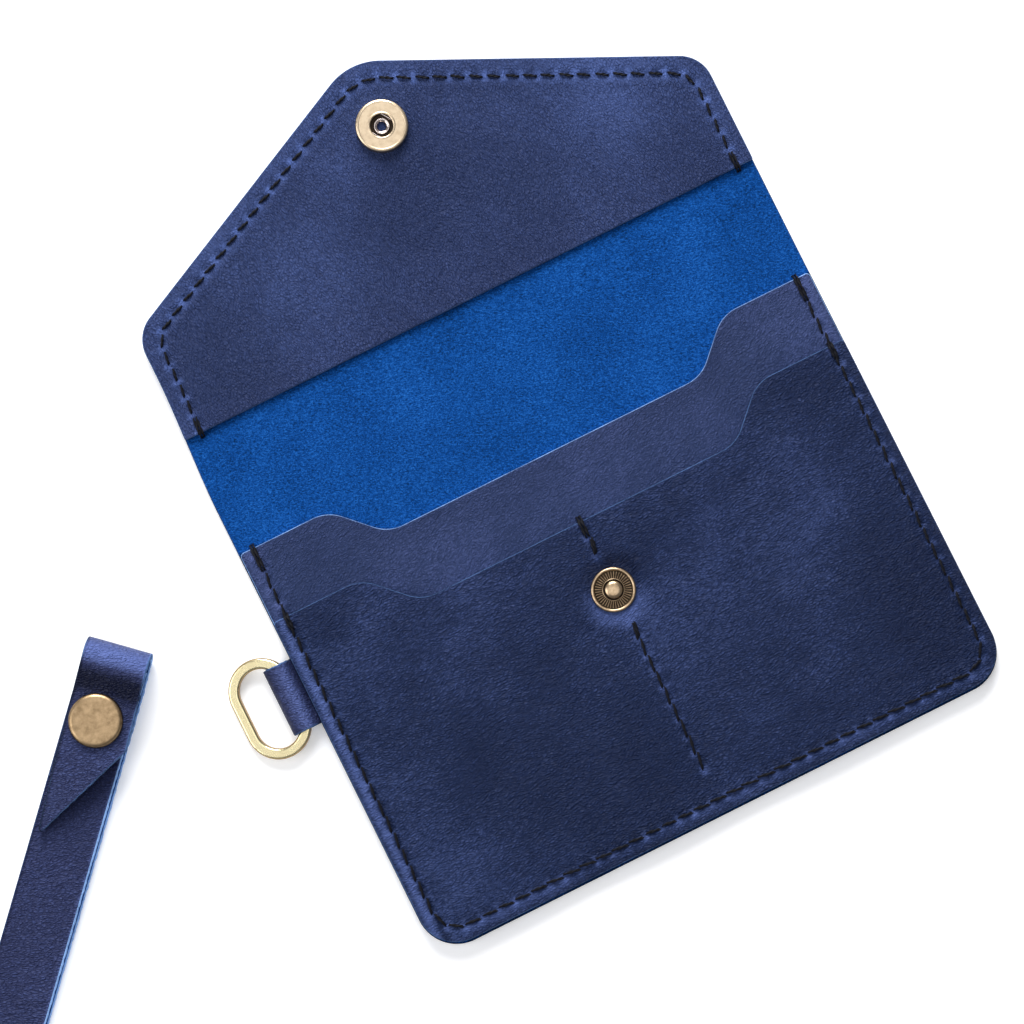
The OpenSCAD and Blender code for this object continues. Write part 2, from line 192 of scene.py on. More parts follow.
def waves(x, y, wavelength, seed):
    """A smooth random field of about that wavelength, mostly from -1 to 1."""
    rng, count = np.random.default_rng(seed), 9
    total = np.zeros_like(x, dtype=float)
    for _ in range(count):
        angle, phase = rng.uniform(0, 2 * np.pi, 2)
        k = 2 * np.pi / (wavelength * rng.uniform(0.7, 1.5))
        total += np.sin(k * (x * np.cos(angle) + y * np.sin(angle)) + phase)
    return total / math.sqrt(count)


def along_path(path):
    """Each point's distance along the path from its first point."""
    return np.concatenate([[0], np.cumsum(np.linalg.norm(np.diff(path, axis=0), axis=1))])


def resampled(points, step):
    """The same path, with points one step apart."""
    points = np.asarray(points, float)
    places = along_path(points)
    count = max(2, int(round(places[-1] / step)) + 1)
    wanted = np.linspace(0, places[-1], count)
    return np.column_stack([np.interp(wanted, places, axis) for axis in points.T])


def unit_rows(vectors):
    """The same vectors, each with length 1."""
    return vectors / np.maximum(np.linalg.norm(vectors, axis=1), 1e-9)[:, None]


def smooth_path(points, step):
    """A smooth curve through the points, resampled at that step."""
    p = np.asarray(points, float)
    p = np.vstack([2 * p[0] - p[1], p, 2 * p[-1] - p[-2]])
    t = np.linspace(0, 1, 17)[:-1, None]
    parts = []
    for a, b, c, d in zip(p, p[1:], p[2:], p[3:]):
        curve = 2 * b + (c - a) * t + (2 * a - 5 * b + 4 * c - d) * t ** 2
        parts.append((curve + (3 * b - a - 3 * c + d) * t ** 3) / 2)
    parts.append(p[-2:-1])
    return resampled(np.vstack(parts), step)


# --- Outlines ---
# Each gives the edge's Y for an array of X, drawn in by inset.

def bottom_edge(x, half_w, bottom, radius, inset):
    r = radius - inset
    over = np.clip(np.abs(x) - (half_w - radius), 0, r)
    return bottom + inset + r - np.sqrt(r * r - over * over)


def flap_edge(x, inset):
    x = np.abs(x)
    half_w, tip = HALF_W - inset, TIP_Y - inset / math.cos(FLAP_SLOPE)
    line = tip - x * math.tan(FLAP_SLOPE)
    tip_r = TIP_R - inset
    tip_arc = tip - tip_r / math.cos(FLAP_SLOPE) + np.sqrt(np.maximum(tip_r ** 2 - x * x, 0))
    r = SHOULDER_R - inset / 2
    middle = half_w - r
    drop = r / math.cos(FLAP_SLOPE) + middle * math.tan(FLAP_SLOPE)
    shoulder_arc = tip - drop + np.sqrt(np.maximum(r * r - np.clip(x - middle, 0, r) ** 2, 0))
    edge = np.where(x < tip_r * math.sin(FLAP_SLOPE), tip_arc, line)
    return np.where(x > middle + r * math.sin(FLAP_SLOPE), shoulder_arc, edge)


def pocket_edge(x, top, inset):
    x = np.abs(x)
    r, half_w, end_r = RECESS_R, HALF_W - SIDE_STEP, 1.0
    corner = r * math.tan(math.pi / 8)
    outer, inner = RECESS_HALF + RECESS_DEPTH / 2 + corner, RECESS_HALF - RECESS_DEPTH / 2 - corner
    dip = top - RECESS_DEPTH
    crown, hollow = r - inset, r + inset
    crown_arc = top - r + np.sqrt(np.maximum(crown ** 2 - (x - outer) ** 2, 0))
    hollow_arc = dip + r - np.sqrt(np.maximum(hollow ** 2 - (x - inner) ** 2, 0))
    edge = dip + (x - RECESS_HALF + RECESS_DEPTH / 2) - inset * math.sqrt(2)
    edge = np.where(x < inner + hollow * math.sqrt(0.5), hollow_arc, edge)
    edge = np.where(x < inner, dip - inset, edge)
    edge = np.where(x > outer - crown * math.sqrt(0.5), crown_arc, edge)
    edge = np.where(x > outer, top - inset, edge)
    over = np.clip(x - (half_w - end_r), 0, end_r - inset)
    return np.where(over > 0, top - end_r + np.sqrt((end_r - inset) ** 2 - over ** 2), edge)


def columns(half_w, corner_r, step, end_r=0.0):
    """Places along X: even in the middle, and closer where the corners curve."""
    flat = half_w - corner_r
    middle = np.linspace(-flat, flat, int(round(2 * flat / step)) + 1)
    turn = np.linspace(0, math.pi / 2, 19)[1:]
    side = flat + corner_r * np.sin(turn)
    if end_r:
        side = np.concatenate([side[side < half_w - end_r], half_w - end_r + end_r * np.sin(turn[::3])])
    return np.concatenate([-side[::-1], middle, side])


# --- Sheets of leather ---

EDGE_R = 0.3  # rounding of a cut edge
# Steps round that rounding: how far out each is, and how far down, as shares of it
ROUNDING = [(math.sin(a), 1 - math.cos(a)) for a in np.radians([30, 60, 90])]


def panel(name, xs, low, high, rows, top, under, materials, tone, joined_y=None, flat_back=False):
    """A sheet between the edges low and high, which are the true edges drawn in by EDGE_R.

    top and under give the levels of its faces, and tone how pale they are, each from X and Y.
    The materials are the top's, the cut edge's and the underside's. The side that lies on joined_y
    meets the next sheet, so it isn't rounded. A flat back is one face, for a side that is never seen.
    """
    n, m = len(xs), len(rows)
    x = np.repeat(xs[:, None], m, 1)
    y = low[:, None] + (high - low)[:, None] * rows[None, :]
    index = np.arange(n * m).reshape(n, m)
    loop = np.concatenate([index[:, 0], index[-1, 1:], index[-2::-1, -1], index[0, -2:0:-1]])
    flat = np.column_stack([x.ravel(), y.ravel()])
    ring = flat[loop]
    along = np.roll(ring, -1, 0) - np.roll(ring, 1, 0)
    out = np.column_stack([along[:, 1], -along[:, 0]])
    out = unit_rows(out)
    if joined_y is not None:
        on_join = np.abs(ring[:, 1] - joined_y) < 1e-6
        side = np.abs(ring[:, 0]) > xs[-1] - 1e-6
        out[on_join] = 0
        out[on_join & side] = np.column_stack([np.sign(ring[:, 0]), 0 * ring[:, 0]])[on_join & side]
    top_z, under_z = top(*flat.T), under(*flat.T)

    points = [np.column_stack([flat, top_z])]
    tones = [tone(*flat.T)]
    levels = [(reach, top_z[loop] - drop * EDGE_R) for reach, drop in ROUNDING]
    levels += [(reach, under_z[loop] + drop * EDGE_R) for reach, drop in reversed(ROUNDING)]
    for reach, z in levels:
        points.append(np.column_stack([ring + out * reach * EDGE_R, z]))
        tones.append(tones[0][loop])
    k = len(loop)
    first = n * m
    rings = [loop] + [np.arange(first + i * k, first + (i + 1) * k) for i in range(len(levels))]
    quads = np.stack([index[:-1, :-1], index[1:, :-1], index[1:, 1:], index[:-1, 1:]], -1)
    faces = quads.reshape(-1, 4).tolist()
    material_of = [0] * len(faces)
    if flat_back:
        points.append(np.column_stack([ring, under_z[loop]]))
        tones.append(tones[0][loop])
        rings.append(np.arange(first + len(levels) * k, first + (len(levels) + 1) * k))
        back = [rings[-1][::-1].tolist()]
    else:
        start = first + len(levels) * k
        points.append(np.column_stack([flat, under_z]))
        tones.append(tones[0])
        rings.append(loop + start)
        back = (quads[..., [0, 3, 2, 1]].reshape(-1, 4) + start).tolist()
    for i, (upper, lower) in enumerate(zip(rings, rings[1:])):
        band = np.column_stack([upper, lower, np.roll(lower, -1), np.roll(upper, -1)])
        faces += band.tolist()
        material_of += [0 if i == 0 else 2 if i == len(rings) - 2 else 1] * k
    faces += back
    material_of += [2] * len(back)
    return make_piece(name, settle(np.vstack(points)), faces, materials, material_of, np.concatenate(tones))


# --- Seams ---

class Seam:
    """A line of stitches on the flat layout."""

    def __init__(self, points):
        self.points = resampled(points, 0.25)
        self.places = along_path(self.points)
        self.count = int(self.places[-1] // STITCH_PITCH)
        self.start = (self.places[-1] - self.count * STITCH_PITCH) / 2

    def at(self, place):
        """The point and the direction at that distance along the seam."""
        around = [place - 0.3, place, place + 0.3]
        found = [np.interp(around, self.places, axis) for axis in self.points.T]
        behind, point, ahead = np.column_stack(found)
        return point, (ahead - behind) / np.linalg.norm(ahead - behind)

    def near(self, x, y):
        """Each point's distance from the seam, above 0 on its left, and its place along it."""
        distance, place = np.empty(len(x)), np.empty(len(x))
        ahead = unit_rows(np.gradient(self.points, axis=0))
        for part in np.array_split(np.arange(len(x)), max(1, len(x) // 2000)):
            from_seam = np.stack([x[part, None] - self.points[:, 0], y[part, None] - self.points[:, 1]])
            nearest = (from_seam ** 2).sum(0).argmin(1)
            off_x, off_y = from_seam[:, np.arange(len(part)), nearest]
            side = np.sign(ahead[nearest, 0] * off_y - ahead[nearest, 1] * off_x)
            distance[part] = side * np.hypot(off_x, off_y)
            place[part] = self.places[nearest]
        return distance, place

    def pull(self, x, y):
        """How the stitches shape the leather: its height, and how pale it is, partly the paler colour of
        leather stretched by the stitches and partly painted highlight on the puckers between the holes.
        """
        distance, place = self.near(x, y)
        phase = (place - self.start) / STITCH_PITCH
        gap = (0.5 + 0.5 * np.cos(2 * np.pi * phase)) ** 2
        height = bump(distance, 1.0) * (0.2 * gap - 0.34) + 0.12 * bump(np.abs(distance) - 2.1, 1.0)
        uneven = 0.8 + 0.3 * waves(x, y, 7, 11)
        # Painted highlight on the puckers at each gap between stitches.
        pucker_highlight = 0.8 * bump(distance + 0.8, 0.65) + 0.5 * bump(distance, 0.6)
        pucker_highlight += 0.35 * bump(distance - 0.9, 0.5)
        pale = (pucker_highlight * gap + 0.12 * bump(distance, 1.6)) * uneven
        return height, pale

    def height(self, x, y):
        return self.pull(x, y)[0]

    # How pale the seam leaves the leather: stretched leather's colour together with painted highlight on the
    # puckers.
    def paleness_and_highlight(self, x, y):
        return self.pull(x, y)[1]


def arc(centre, radius, start, end):
    angles = np.radians(np.linspace(start, end, 14))
    return np.column_stack([centre[0] + radius * np.cos(angles), centre[1] + radius * np.sin(angles)])


def pocket_seam_path(top):
    x, y, r = HALF_W - SIDE_SEAM, BOTTOM_Y + EDGE_SEAM, CORNER_R - SIDE_SEAM
    return np.vstack([
        [[-x, top]], arc((-x + r, y + r), r, 180, 270), arc((x - r, y + r), r, 270, 360), [[x, top]]])


def flap_seam_path():
    inset = EDGE_SEAM
    x = np.linspace(-(HALF_W - inset), HALF_W - inset, 400)
    edge = np.column_stack([x, flap_edge(x, inset)])
    return np.vstack([[[x[0], LINING_Y]], edge, [[x[-1], LINING_Y]]])[::-1]


pocket_seam = Seam(pocket_seam_path(INNER_TOP))
flap_seam = Seam(flap_seam_path())
upper_divider = Seam([[0.2, FRONT_TOP - RECESS_DEPTH], [0.2, 7.4]])
lower_divider = Seam([[0.3, -9.6], [0.3, -47.1]])


# --- Materials ---

class Shader:
    """A node material, built one node at a time. Values on the shader itself are set with fix()."""

    def __init__(self, name):
        self.material = bpy.data.materials.new(name)
        self.material.use_nodes = True
        self.tree = self.material.node_tree
        self.bsdf = self.tree.nodes["Principled BSDF"]

    def fix(self, **values):
        for name, value in values.items():
            self.bsdf.inputs[name.replace("_", " ")].default_value = value

    def drive(self, name, socket):
        self.tree.links.new(socket, self.bsdf.inputs[name])

    def add(self, kind, inputs, output=0, **settings):
        node = self.tree.nodes.new("ShaderNode" + kind)
        for name, value in settings.items():
            setattr(node, name, value)
        for key, value in inputs.items():
            if isinstance(value, bpy.types.NodeSocket):
                self.tree.links.new(value, node.inputs[key])
            else:
                node.inputs[key].default_value = value
        return node.outputs[output]

    def attribute(self, name, output):
        return self.add("Attribute", {}, output, attribute_name=name)

    def math(self, operation, a, b=0.0, c=0.0):
        return self.add("Math", {0: a, 1: b, 2: c}, operation=operation)

    def plus(self, value, amount, socket, middle=0.0):
        """value, with amount times how far the socket's value is above middle added to it."""
        centred = self.math("SUBTRACT", socket, middle) if middle else socket
        return self.math("MULTIPLY_ADD", centred, amount, value)

    def noise(self, at, scale, detail, roughness):
        inputs = {"Vector": at, "Scale": scale, "Detail": detail, "Roughness": roughness}
        return self.add("TexNoise", inputs)

    def cell_edges(self, at):
        return self.add("TexVoronoi", {"Vector": at, "Scale": 1.0}, feature="DISTANCE_TO_EDGE")

    def placed(self, at, turn, sizes):
        """The vector turned about Z, and scaled so that one unit is sizes long."""
        scale = tuple(1 / size for size in sizes)
        turned = self.add("Mapping", {"Vector": at, "Rotation": (0, 0, math.radians(turn))})
        return self.add("Mapping", {"Vector": turned, "Scale": scale})

    def warped(self, at, size, reach):
        """The vector pushed about by smooth noise of that size."""
        drift = self.add("TexNoise", {"Vector": at, "Scale": 1 / size, "Detail": 1.0}, "Color")
        centred = self.add("VectorMath", {0: drift, 1: (0.5, 0.5, 0.5)}, operation="SUBTRACT")
        pushed = self.add("VectorMath", {0: centred, "Scale": reach}, operation="SCALE")
        return self.add("VectorMath", {0: at, 1: pushed}, operation="ADD")

    def ramp(self, value, stops):
        socket = self.add("ValToRGB", {0: value})
        band = socket.node.color_ramp
        while len(band.elements) < len(stops):
            band.elements.new(0.5)
        for element, (place, colour) in zip(band.elements, stops):
            element.position = place
            element.color = (*colour, 1)
        return socket

    def emboss(self, height, strength, depth):
        """Bumps as deep as depth, in millimetres."""
        normal = self.add("Bump", {"Height": height, "Strength": strength, "Distance": depth * MM})
        self.drive("Normal", normal)


def grain_leather(name, deep, base, pale, turn, cell=(1.0, 0.5), grain=0.5, rough=0.42, cloudy=1.0):
    """Pull-up leather: small pebbles drawn out along turn, and colour set by the tone attribute, which is
    paler where the leather was pulled and also carries painted highlights and shade.
    """
    s = Shader(name)
    rest, tone = s.attribute("rest", "Vector"), s.attribute("tone", "Fac")
    bent = s.warped(s.warped(rest, 20, 4.0), 1.6, 0.4)
    valleys = s.cell_edges(s.placed(bent, turn, (*cell, 0.9)))
    pebbles = s.math("SMOOTH_MIN", valleys, 0.3, 0.2)
    wrinkles = s.noise(s.placed(bent, turn, (cell[0] * 1.4, cell[1] * 1.1, 1.0)), 1.0, 2.0, 0.6)
    fine = s.noise(rest, 2.6, 2.0, 0.65)
    height = s.plus(s.plus(s.plus(-0.25, 1.3, wrinkles), 1.3, pebbles), 0.3, fine)
    cloud = s.noise(rest, 1 / 32, 2.5, 0.5)
    mottle = s.noise(s.placed(rest, turn, (8, 4.5, 5)), 1.0, 3.0, 0.6)
    value = s.plus(0.4, 0.5, tone)
    value = s.plus(value, 0.42 * cloudy, cloud, 0.5)
    value = s.plus(value, 0.18 * cloudy, mottle, 0.5)
    # Painted shade: darker in the grain's valleys and paler on its tops.
    value = s.plus(value, 0.32, height, 0.72)
    s.drive("Base Color", s.ramp(value, [(0.0, deep), (0.4, base), (1.0, pale)]))
    s.drive("Roughness", s.plus(rough + 0.08, -0.1, height))
    s.fix(Specular_IOR_Level=0.12)
    s.emboss(height, 1.0, grain)
    return s.material


def suede_leather(name, deep, base, pale):
    """The flesh side: a short nap, brushed in patches, with specks where fibres stand up."""
    s = Shader(name)
    rest, tone = s.attribute("rest", "Vector"), s.attribute("tone", "Fac")
    nap = s.noise(s.warped(rest, 2.5, 1.0), 2.7, 3.0, 0.8)
    fibres = s.noise(s.placed(rest, 20, (0.7, 0.35, 0.4)), 1.0, 2.0, 0.75)
    brushed = s.noise(rest, 1 / 9, 3.0, 0.6)
    height = s.plus(nap, 0.8, fibres)
    value = s.plus(0.5, 1.9, height, 0.9)
    value = s.plus(value, 0.22, brushed, 0.5)
    value = s.plus(value, 0.5, tone)
    s.drive("Base Color", s.ramp(value, [(0.0, deep), (0.5, base), (1.0, pale)]))
    s.fix(Roughness=0.95, Specular_IOR_Level=0.1)
    s.emboss(height, 1.0, 0.2)
    return s.material


def cut_edge(name, dark, pale):
    """A raw cut edge: loose pale fibres over dyed layers."""
    s = Shader(name)
    rest, tone = s.attribute("rest", "Vector"), s.attribute("tone", "Fac")
    fibres = s.noise(s.placed(rest, 0, (0.5, 0.5, 0.22)), 1.0, 4.0, 0.7)
    patches = s.noise(rest, 1 / 7, 2.0, 0.5)
    value = s.plus(s.math("SUBTRACT", fibres, 0.3), 0.6, patches)
    value = s.plus(value, 0.5, tone)
    s.drive("Base Color", s.ramp(value, [(0.2, dark), (0.8, pale)]))
    s.fix(Roughness=0.9, Specular_IOR_Level=0.2)
    s.emboss(fibres, 0.9, 0.12)
    return s.material


def waxed_thread(name):
    s = Shader(name)
    rest = s.attribute("rest", "Vector")
    fibre = s.noise(rest, 5.0, 3.0, 0.6)
    s.drive("Base Color", s.ramp(fibre, [(0.3, (0.0008, 0.001, 0.0025)), (0.8, (0.005, 0.006, 0.013))]))
    s.drive("Roughness", s.plus(0.45, 0.3, fibre))
    s.fix(Specular_IOR_Level=0.2)
    s.emboss(fibre, 0.6, 0.05)
    return s.material


def metal(name, dark, pale, roughness, speck=1.6, depth=0.015, cloudy=1.0, rim=0.5):
    """Plated metal with a cloudy patina and a fine satin surface, and painted shade where it turns away from
    the view.
    """
    s = Shader(name)
    at = s.add("TexCoord", {}, "Object")
    at = s.add("Mapping", {"Vector": at, "Scale": (1 / MM,) * 3})
    patina = s.noise(at, 1 / speck, 4.0, 0.65)
    satin = s.noise(at, 9.0, 2.0, 0.6)
    turned = s.math("POWER", s.add("LayerWeight", {"Blend": 0.5}, "Facing"), 2.0)
    value = s.plus(0.55, cloudy, patina, 0.5)
    value = s.plus(value, 0.3 * cloudy, satin, 0.5)
    # Painted shade: rim darkens the colour where the surface turns away from the view.
    value = s.plus(value, -rim, turned)
    s.drive("Base Color", s.ramp(value, [(0.2, dark), (0.65, pale)]))
    s.drive("Roughness", s.plus(roughness + 0.08, -0.15, patina))
    s.fix(Metallic=1.0)
    s.emboss(satin, 0.5, depth)
    return s.material


outer_grain = grain_leather(
    "outer_grain", (0.003, 0.007, 0.028), (0.0125, 0.022, 0.07), (0.08, 0.13, 0.37), 12)
pocket_grain = grain_leather(
    "pocket_grain", (0.002, 0.005, 0.022), (0.0114, 0.0216, 0.069), (0.085, 0.13, 0.35), -4)
lining_grain = grain_leather(
    "lining_grain", (0.006, 0.012, 0.042), (0.024, 0.039, 0.113), (0.08, 0.13, 0.36), 82,
    cell=(1.0, 0.48), grain=0.45)
inner_grain = grain_leather(
    "inner_grain", (0.008, 0.014, 0.042), (0.023, 0.038, 0.107), (0.1, 0.135, 0.35), -25,
    cell=(0.8, 0.48), grain=0.36, rough=0.5)
strap_grain = grain_leather(
    "strap_grain", (0.003, 0.005, 0.02), (0.025, 0.033, 0.095), (0.12, 0.17, 0.44), 24, cloudy=0.4)
suede = suede_leather("suede", (0.0, 0.016, 0.06), (0.0014, 0.051, 0.243), (0.014, 0.13, 0.48))
bright_edge = cut_edge("bright_edge", (0.01, 0.025, 0.09), (0.3, 0.52, 0.95))
dyed_edge = cut_edge("dyed_edge", (0.003, 0.009, 0.03), (0.08, 0.16, 0.36))
thread = waxed_thread("thread")
antique_brass = metal("antique_brass", (0.1, 0.06, 0.025), (0.47, 0.33, 0.19), 0.36, cloudy=0.7, rim=0.9)
stud_brass = metal("stud_brass", (0.26, 0.17, 0.09), (0.58, 0.43, 0.28), 0.3, speck=1.0)
rib_brass = metal("rib_brass", (0.07, 0.045, 0.025), (0.36, 0.25, 0.15), 0.36, speck=1.0)
pale_brass = metal("pale_brass", (0.5, 0.38, 0.25), (0.72, 0.58, 0.41), 0.34)
# Nearly black brass: painted shade in the snaps' hollows, the stud's sunk ring and well and the socket's
# mouth.
shade_brass = metal("shade_brass", (0.012, 0.01, 0.008), (0.05, 0.035, 0.025), 0.45)
spring_steel = metal("spring_steel", (0.35, 0.28, 0.26), (0.8, 0.7, 0.66), 0.22)
ring_gold = metal(
    "ring_gold", (0.3, 0.17, 0.04), (1.0, 0.9, 0.56), 0.26, speck=4.0, depth=0.001, cloudy=0.3, rim=1.6)


# --- The leather sheets ---

def patches(x, y, spots):
    """Soft pale or dark spots, each a place, a size and an amount."""
    return sum(amount * bump(np.hypot(x - at_x, y - at_y), size) for at_x, at_y, size, amount in spots)


def level(z, swell=None):
    """A face at the height z, with swell added to it."""
    return lambda x, y: np.full(len(x), float(z)) + (0 if swell is None else swell(x, y))


def edge_fade(x, reach):
    """0 at the wallet's sides, and 1 from that far in."""
    return smoothstep((HALF_W - np.abs(x)) / reach)


def edge_roll(x):
    """The margin outside a side seam, which is rounded over and pressed down at the edge."""
    rim = HALF_W - np.abs(x)
    return 0.16 * bump(rim - 2.1, 0.9) - 0.12 * bump(rim - 0.4, 0.6)


def front_swell(x, y):
    """The front pocket bulges between its seams and sinks along the divider and round the stud."""
    across = np.clip(np.abs(x) / (HALF_W - SIDE_SEAM), 0, 1)
    up = np.clip((y - BOTTOM_Y - EDGE_SEAM) / (FRONT_TOP - BOTTOM_Y), 0, 1)
    pillow = 0.6 * np.sin(np.pi * across) ** 0.8 * smoothstep(up * 2.2)
    stud = bump(np.hypot(x, y - STUD_Y), 9)
    rough = 0.12 * waves(x, y, 34, 3) * edge_fade(x, 14)
    seams = sum(seam.height(x, y) for seam in (upper_divider, lower_divider, pocket_seam))
    return (pillow + rough) * (1 - stud) + seams + edge_roll(x)


def inner_swell(x, y):
    """The inner pocket is shaped by its seam, and lies flat under the front pocket."""
    showing = smoothstep((y - FRONT_TOP + 2) / 2)
    return (pocket_seam.height(x, y) + edge_roll(x)) * showing


def front_tone(x, y):
    # The seams' pale marks include painted highlight on their puckers.
    pale = 0.75 * pocket_seam.paleness_and_highlight(x, y)
    pale += 0.7 * sum(seam.paleness_and_highlight(x, y) for seam in (upper_divider, lower_divider))
    # Painted highlight on the slope of the dip round the stud, strongest below it.
    distance = np.hypot(x - 0.5, y - STUD_Y)
    below = np.clip((-(y - STUD_Y) * 0.8 - x * 0.3) / np.maximum(distance, 1), -1, 1)
    pale += bump(distance - 6.3, 2.4) * (0.1 + 0.8 * below)
    # Left side only: painted highlight on the rolled margin, and painted shade in the seam's valley.
    rim = HALF_W - np.abs(x)
    pale += (0.65 * bump(rim - 2.0, 1.0) - 0.45 * bump(rim - 3.9, 0.6)) * (x < 0)
    pale += 0.22 * bump(y - BOTTOM_Y - 2.6, 1.2)
    return pale + patches(x, y, FRONT_PATCHES)


def inner_tone(x, y):
    # The seam's pale marks include painted highlight on its puckers; the rolled margins are paler.
    rim = HALF_W - np.abs(x)
    return 0.7 * pocket_seam.paleness_and_highlight(x, y) + 0.3 * bump(rim - 1.8, 1.2) + patches(x, y, INNER_PATCHES)


def lining_tone(x, y):
    # The seam's pale marks include painted highlight on its puckers.
    pale = 1.15 * flap_seam.paleness_and_highlight(x, y)
    margin = flap_edge(x, 0) - y
    pale += 0.2 * smoothstep((5.5 - np.minimum(margin, HALF_W - np.abs(x))) / 3)
    return pale + patches(x, y, LINING_PATCHES)


# Each patch: where its middle is, how far it reaches, and how much paler it is
# Some patches are the leather's blotchy pull-up colour, and some are painted light falloff, such as the
# darker lower right of the front pocket.
FRONT_PATCHES = [
    (-38, -8, 20, 0.1), (-62, 12, 12, 0.08), (-57, -46, 13, 0.28), (-25, -40, 26, -0.14),
    (30, 10, 16, 0.1), (62, -36, 20, -0.34), (-62, 21, 6, -0.2), (14, -6, 9, 0.08), (60, 14, 14, -0.05)]
INNER_PATCHES = [(-60, 33, 12, -0.12), (0, 26, 14, 0.06), (62, 36, 10, 0.16)]
LINING_PATCHES = [
    (52, 101, 13, 0.22), (25, 112, 12, 0.08), (-30, 98, 14, 0.16), (2, 100, 15, -0.28),
    (-52, 96, 12, -0.08), (60, 84, 10, -0.1), (-55, 80, 12, -0.18), (12, 79, 22, -0.02),
    (0, 127, 9, 0.12), (-12, 112, 8, 0.14)]


def even_rows(count, start=0.0, end=1.0):
    """Where a panel's rows of points lie, as shares of its height."""
    return np.linspace(start, end, count + 1)


# The body's rows are closer near the fold, where the leather bends
BODY_ROWS = np.concatenate([even_rows(95, end=0.82), even_rows(40, start=0.82)[1:]])


def lining_swell(x, y):
    return 0.1 * waves(x, y, 45, 5) * edge_fade(x, 10) + flap_seam.height(x, y)


def fold_roll(x, y):
    """The leather rolls up a little between the creases, where it has been folded."""
    return 0.12 * bump(y - FOLD_Y, 7) * (1 + 0.4 * waves(x, y, 30, 8))


def seam_groove(seam):
    return lambda x, y: 0.35 * bump(seam.near(x, y)[0], 0.75)


def pocket_rim_shade(x, y):
    """1 on the narrow rim of the outer leather that shows outside the pockets, where the suede gets painted
    shade beside the pockets' edges, and 0 elsewhere.
    """
    rim = np.minimum(y - bottom_edge(x, HALF_W, BOTTOM_Y, CORNER_R, 0), HALF_W - np.abs(x))
    return smoothstep((1.6 - rim) / 0.5) * (y < INNER_TOP)


def suede_tone(x, y):
    # Painted shadow just below the lining's cut edge, and painted shade on the rim beside the pockets.
    return 0.08 * waves(x, y, 22, 4) - 0.15 * bump(y - LINING_Y, 2.0) - 1.0 * pocket_rim_shade(x, y)


half_w = HALF_W - EDGE_R
xs = columns(half_w, CORNER_R - EDGE_R, 0.65)
low = bottom_edge(xs, HALF_W, BOTTOM_Y, CORNER_R, EDGE_R)
body_sheet = panel(
    "outer_leather_body", xs, low, np.full(len(xs), FOLD_Y), BODY_ROWS,
    level(OUTER_T, fold_roll),
    level(0, lambda x, y: fold_roll(x, y) + seam_groove(pocket_seam)(x, y)),
    [suede, dyed_edge, outer_grain], suede_tone, joined_y=FOLD_Y)
stands_for(body_sheet, "outer_leather", "outer_leather_back")
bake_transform(body_sheet)

xs = columns(half_w, SHOULDER_R - EDGE_R, 0.55)
flap_sheet = panel(
    "outer_leather_flap_sheet", xs, np.full(len(xs), FOLD_Y), flap_edge(xs, EDGE_R), even_rows(130),
    level(OUTER_T, fold_roll),
    level(0, lambda x, y: fold_roll(x, y) + seam_groove(flap_seam)(x, y)),
    [suede, dyed_edge, outer_grain], suede_tone, joined_y=FOLD_Y)
stands_for(flap_sheet, "outer_leather", "outer_leather_spine", "outer_leather_flap")
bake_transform(flap_sheet)

pocket_half = HALF_W - SIDE_STEP
pocket_bottom = BOTTOM_Y + BOTTOM_STEP
pocket_r = CORNER_R - SIDE_STEP
xs = columns(pocket_half - EDGE_R, pocket_r - EDGE_R, 0.43, 1.0 - EDGE_R)
low = bottom_edge(xs, pocket_half, pocket_bottom, pocket_r, EDGE_R)
inner_pocket = panel(
    "inner_pocket", xs, low, pocket_edge(xs, INNER_TOP, EDGE_R), even_rows(190),
    level(INNER_Z[1], inner_swell), level(INNER_Z[0]),
    [inner_grain, bright_edge, suede], inner_tone, flat_back=True)
stands_for(inner_pocket, "pocket_leather", "inner_pocket_panel", body="wallet")

front_pocket = panel(
    "front_pocket", xs, low, pocket_edge(xs, FRONT_TOP, EDGE_R), even_rows(165),
    level(FRONT_Z[1], front_swell), level(FRONT_Z[0]),
    [pocket_grain, dyed_edge, suede], front_tone, flat_back=True)
stands_for(front_pocket, "pocket_leather", "front_pocket_panel", body="wallet")

xs = columns(half_w, SHOULDER_R - EDGE_R, 0.5)
lining = panel(
    "flap_lining_sheet", xs, np.full(len(xs), LINING_Y + EDGE_R), flap_edge(xs, EDGE_R), even_rows(125),
    level(LINING_Z[1], lining_swell), level(LINING_Z[0] + 0.01),
    [lining_grain, dyed_edge, suede], lining_tone, flat_back=True)
stands_for(lining, "lining_leather", "flap_lining", body="flap")


# --- Stitches ---

PLY_R = 0.22  # of each of the thread's two plies
PLY_OFF = 0.16  # from the thread's middle to a ply's
TUBE_SIDES = 7
STITCH_RISE = 0.14  # of a stitch's middle above the leather
STITCH_SINK = 0.32  # of its ends below it
UNDER_LEVEL = 0.6  # of the stitches under the wallet, sunk in their groove, off the table
WRAP_PAIR = (-0.33, 0.33)  # the two turns of a stitch that wraps an edge, to its left and right
SECOND_PASS = (0.5, 0.3, 0.05)  # how far a second turn of thread lies from the first


def beside(path):
    """Two directions square to each point of a path: one level, and one nearest to up."""
    tangent = unit_rows(np.gradient(path, axis=0))
    side = unit_rows(np.cross(tangent, (0, 0, 1.0)))
    return side, np.cross(side, tangent)


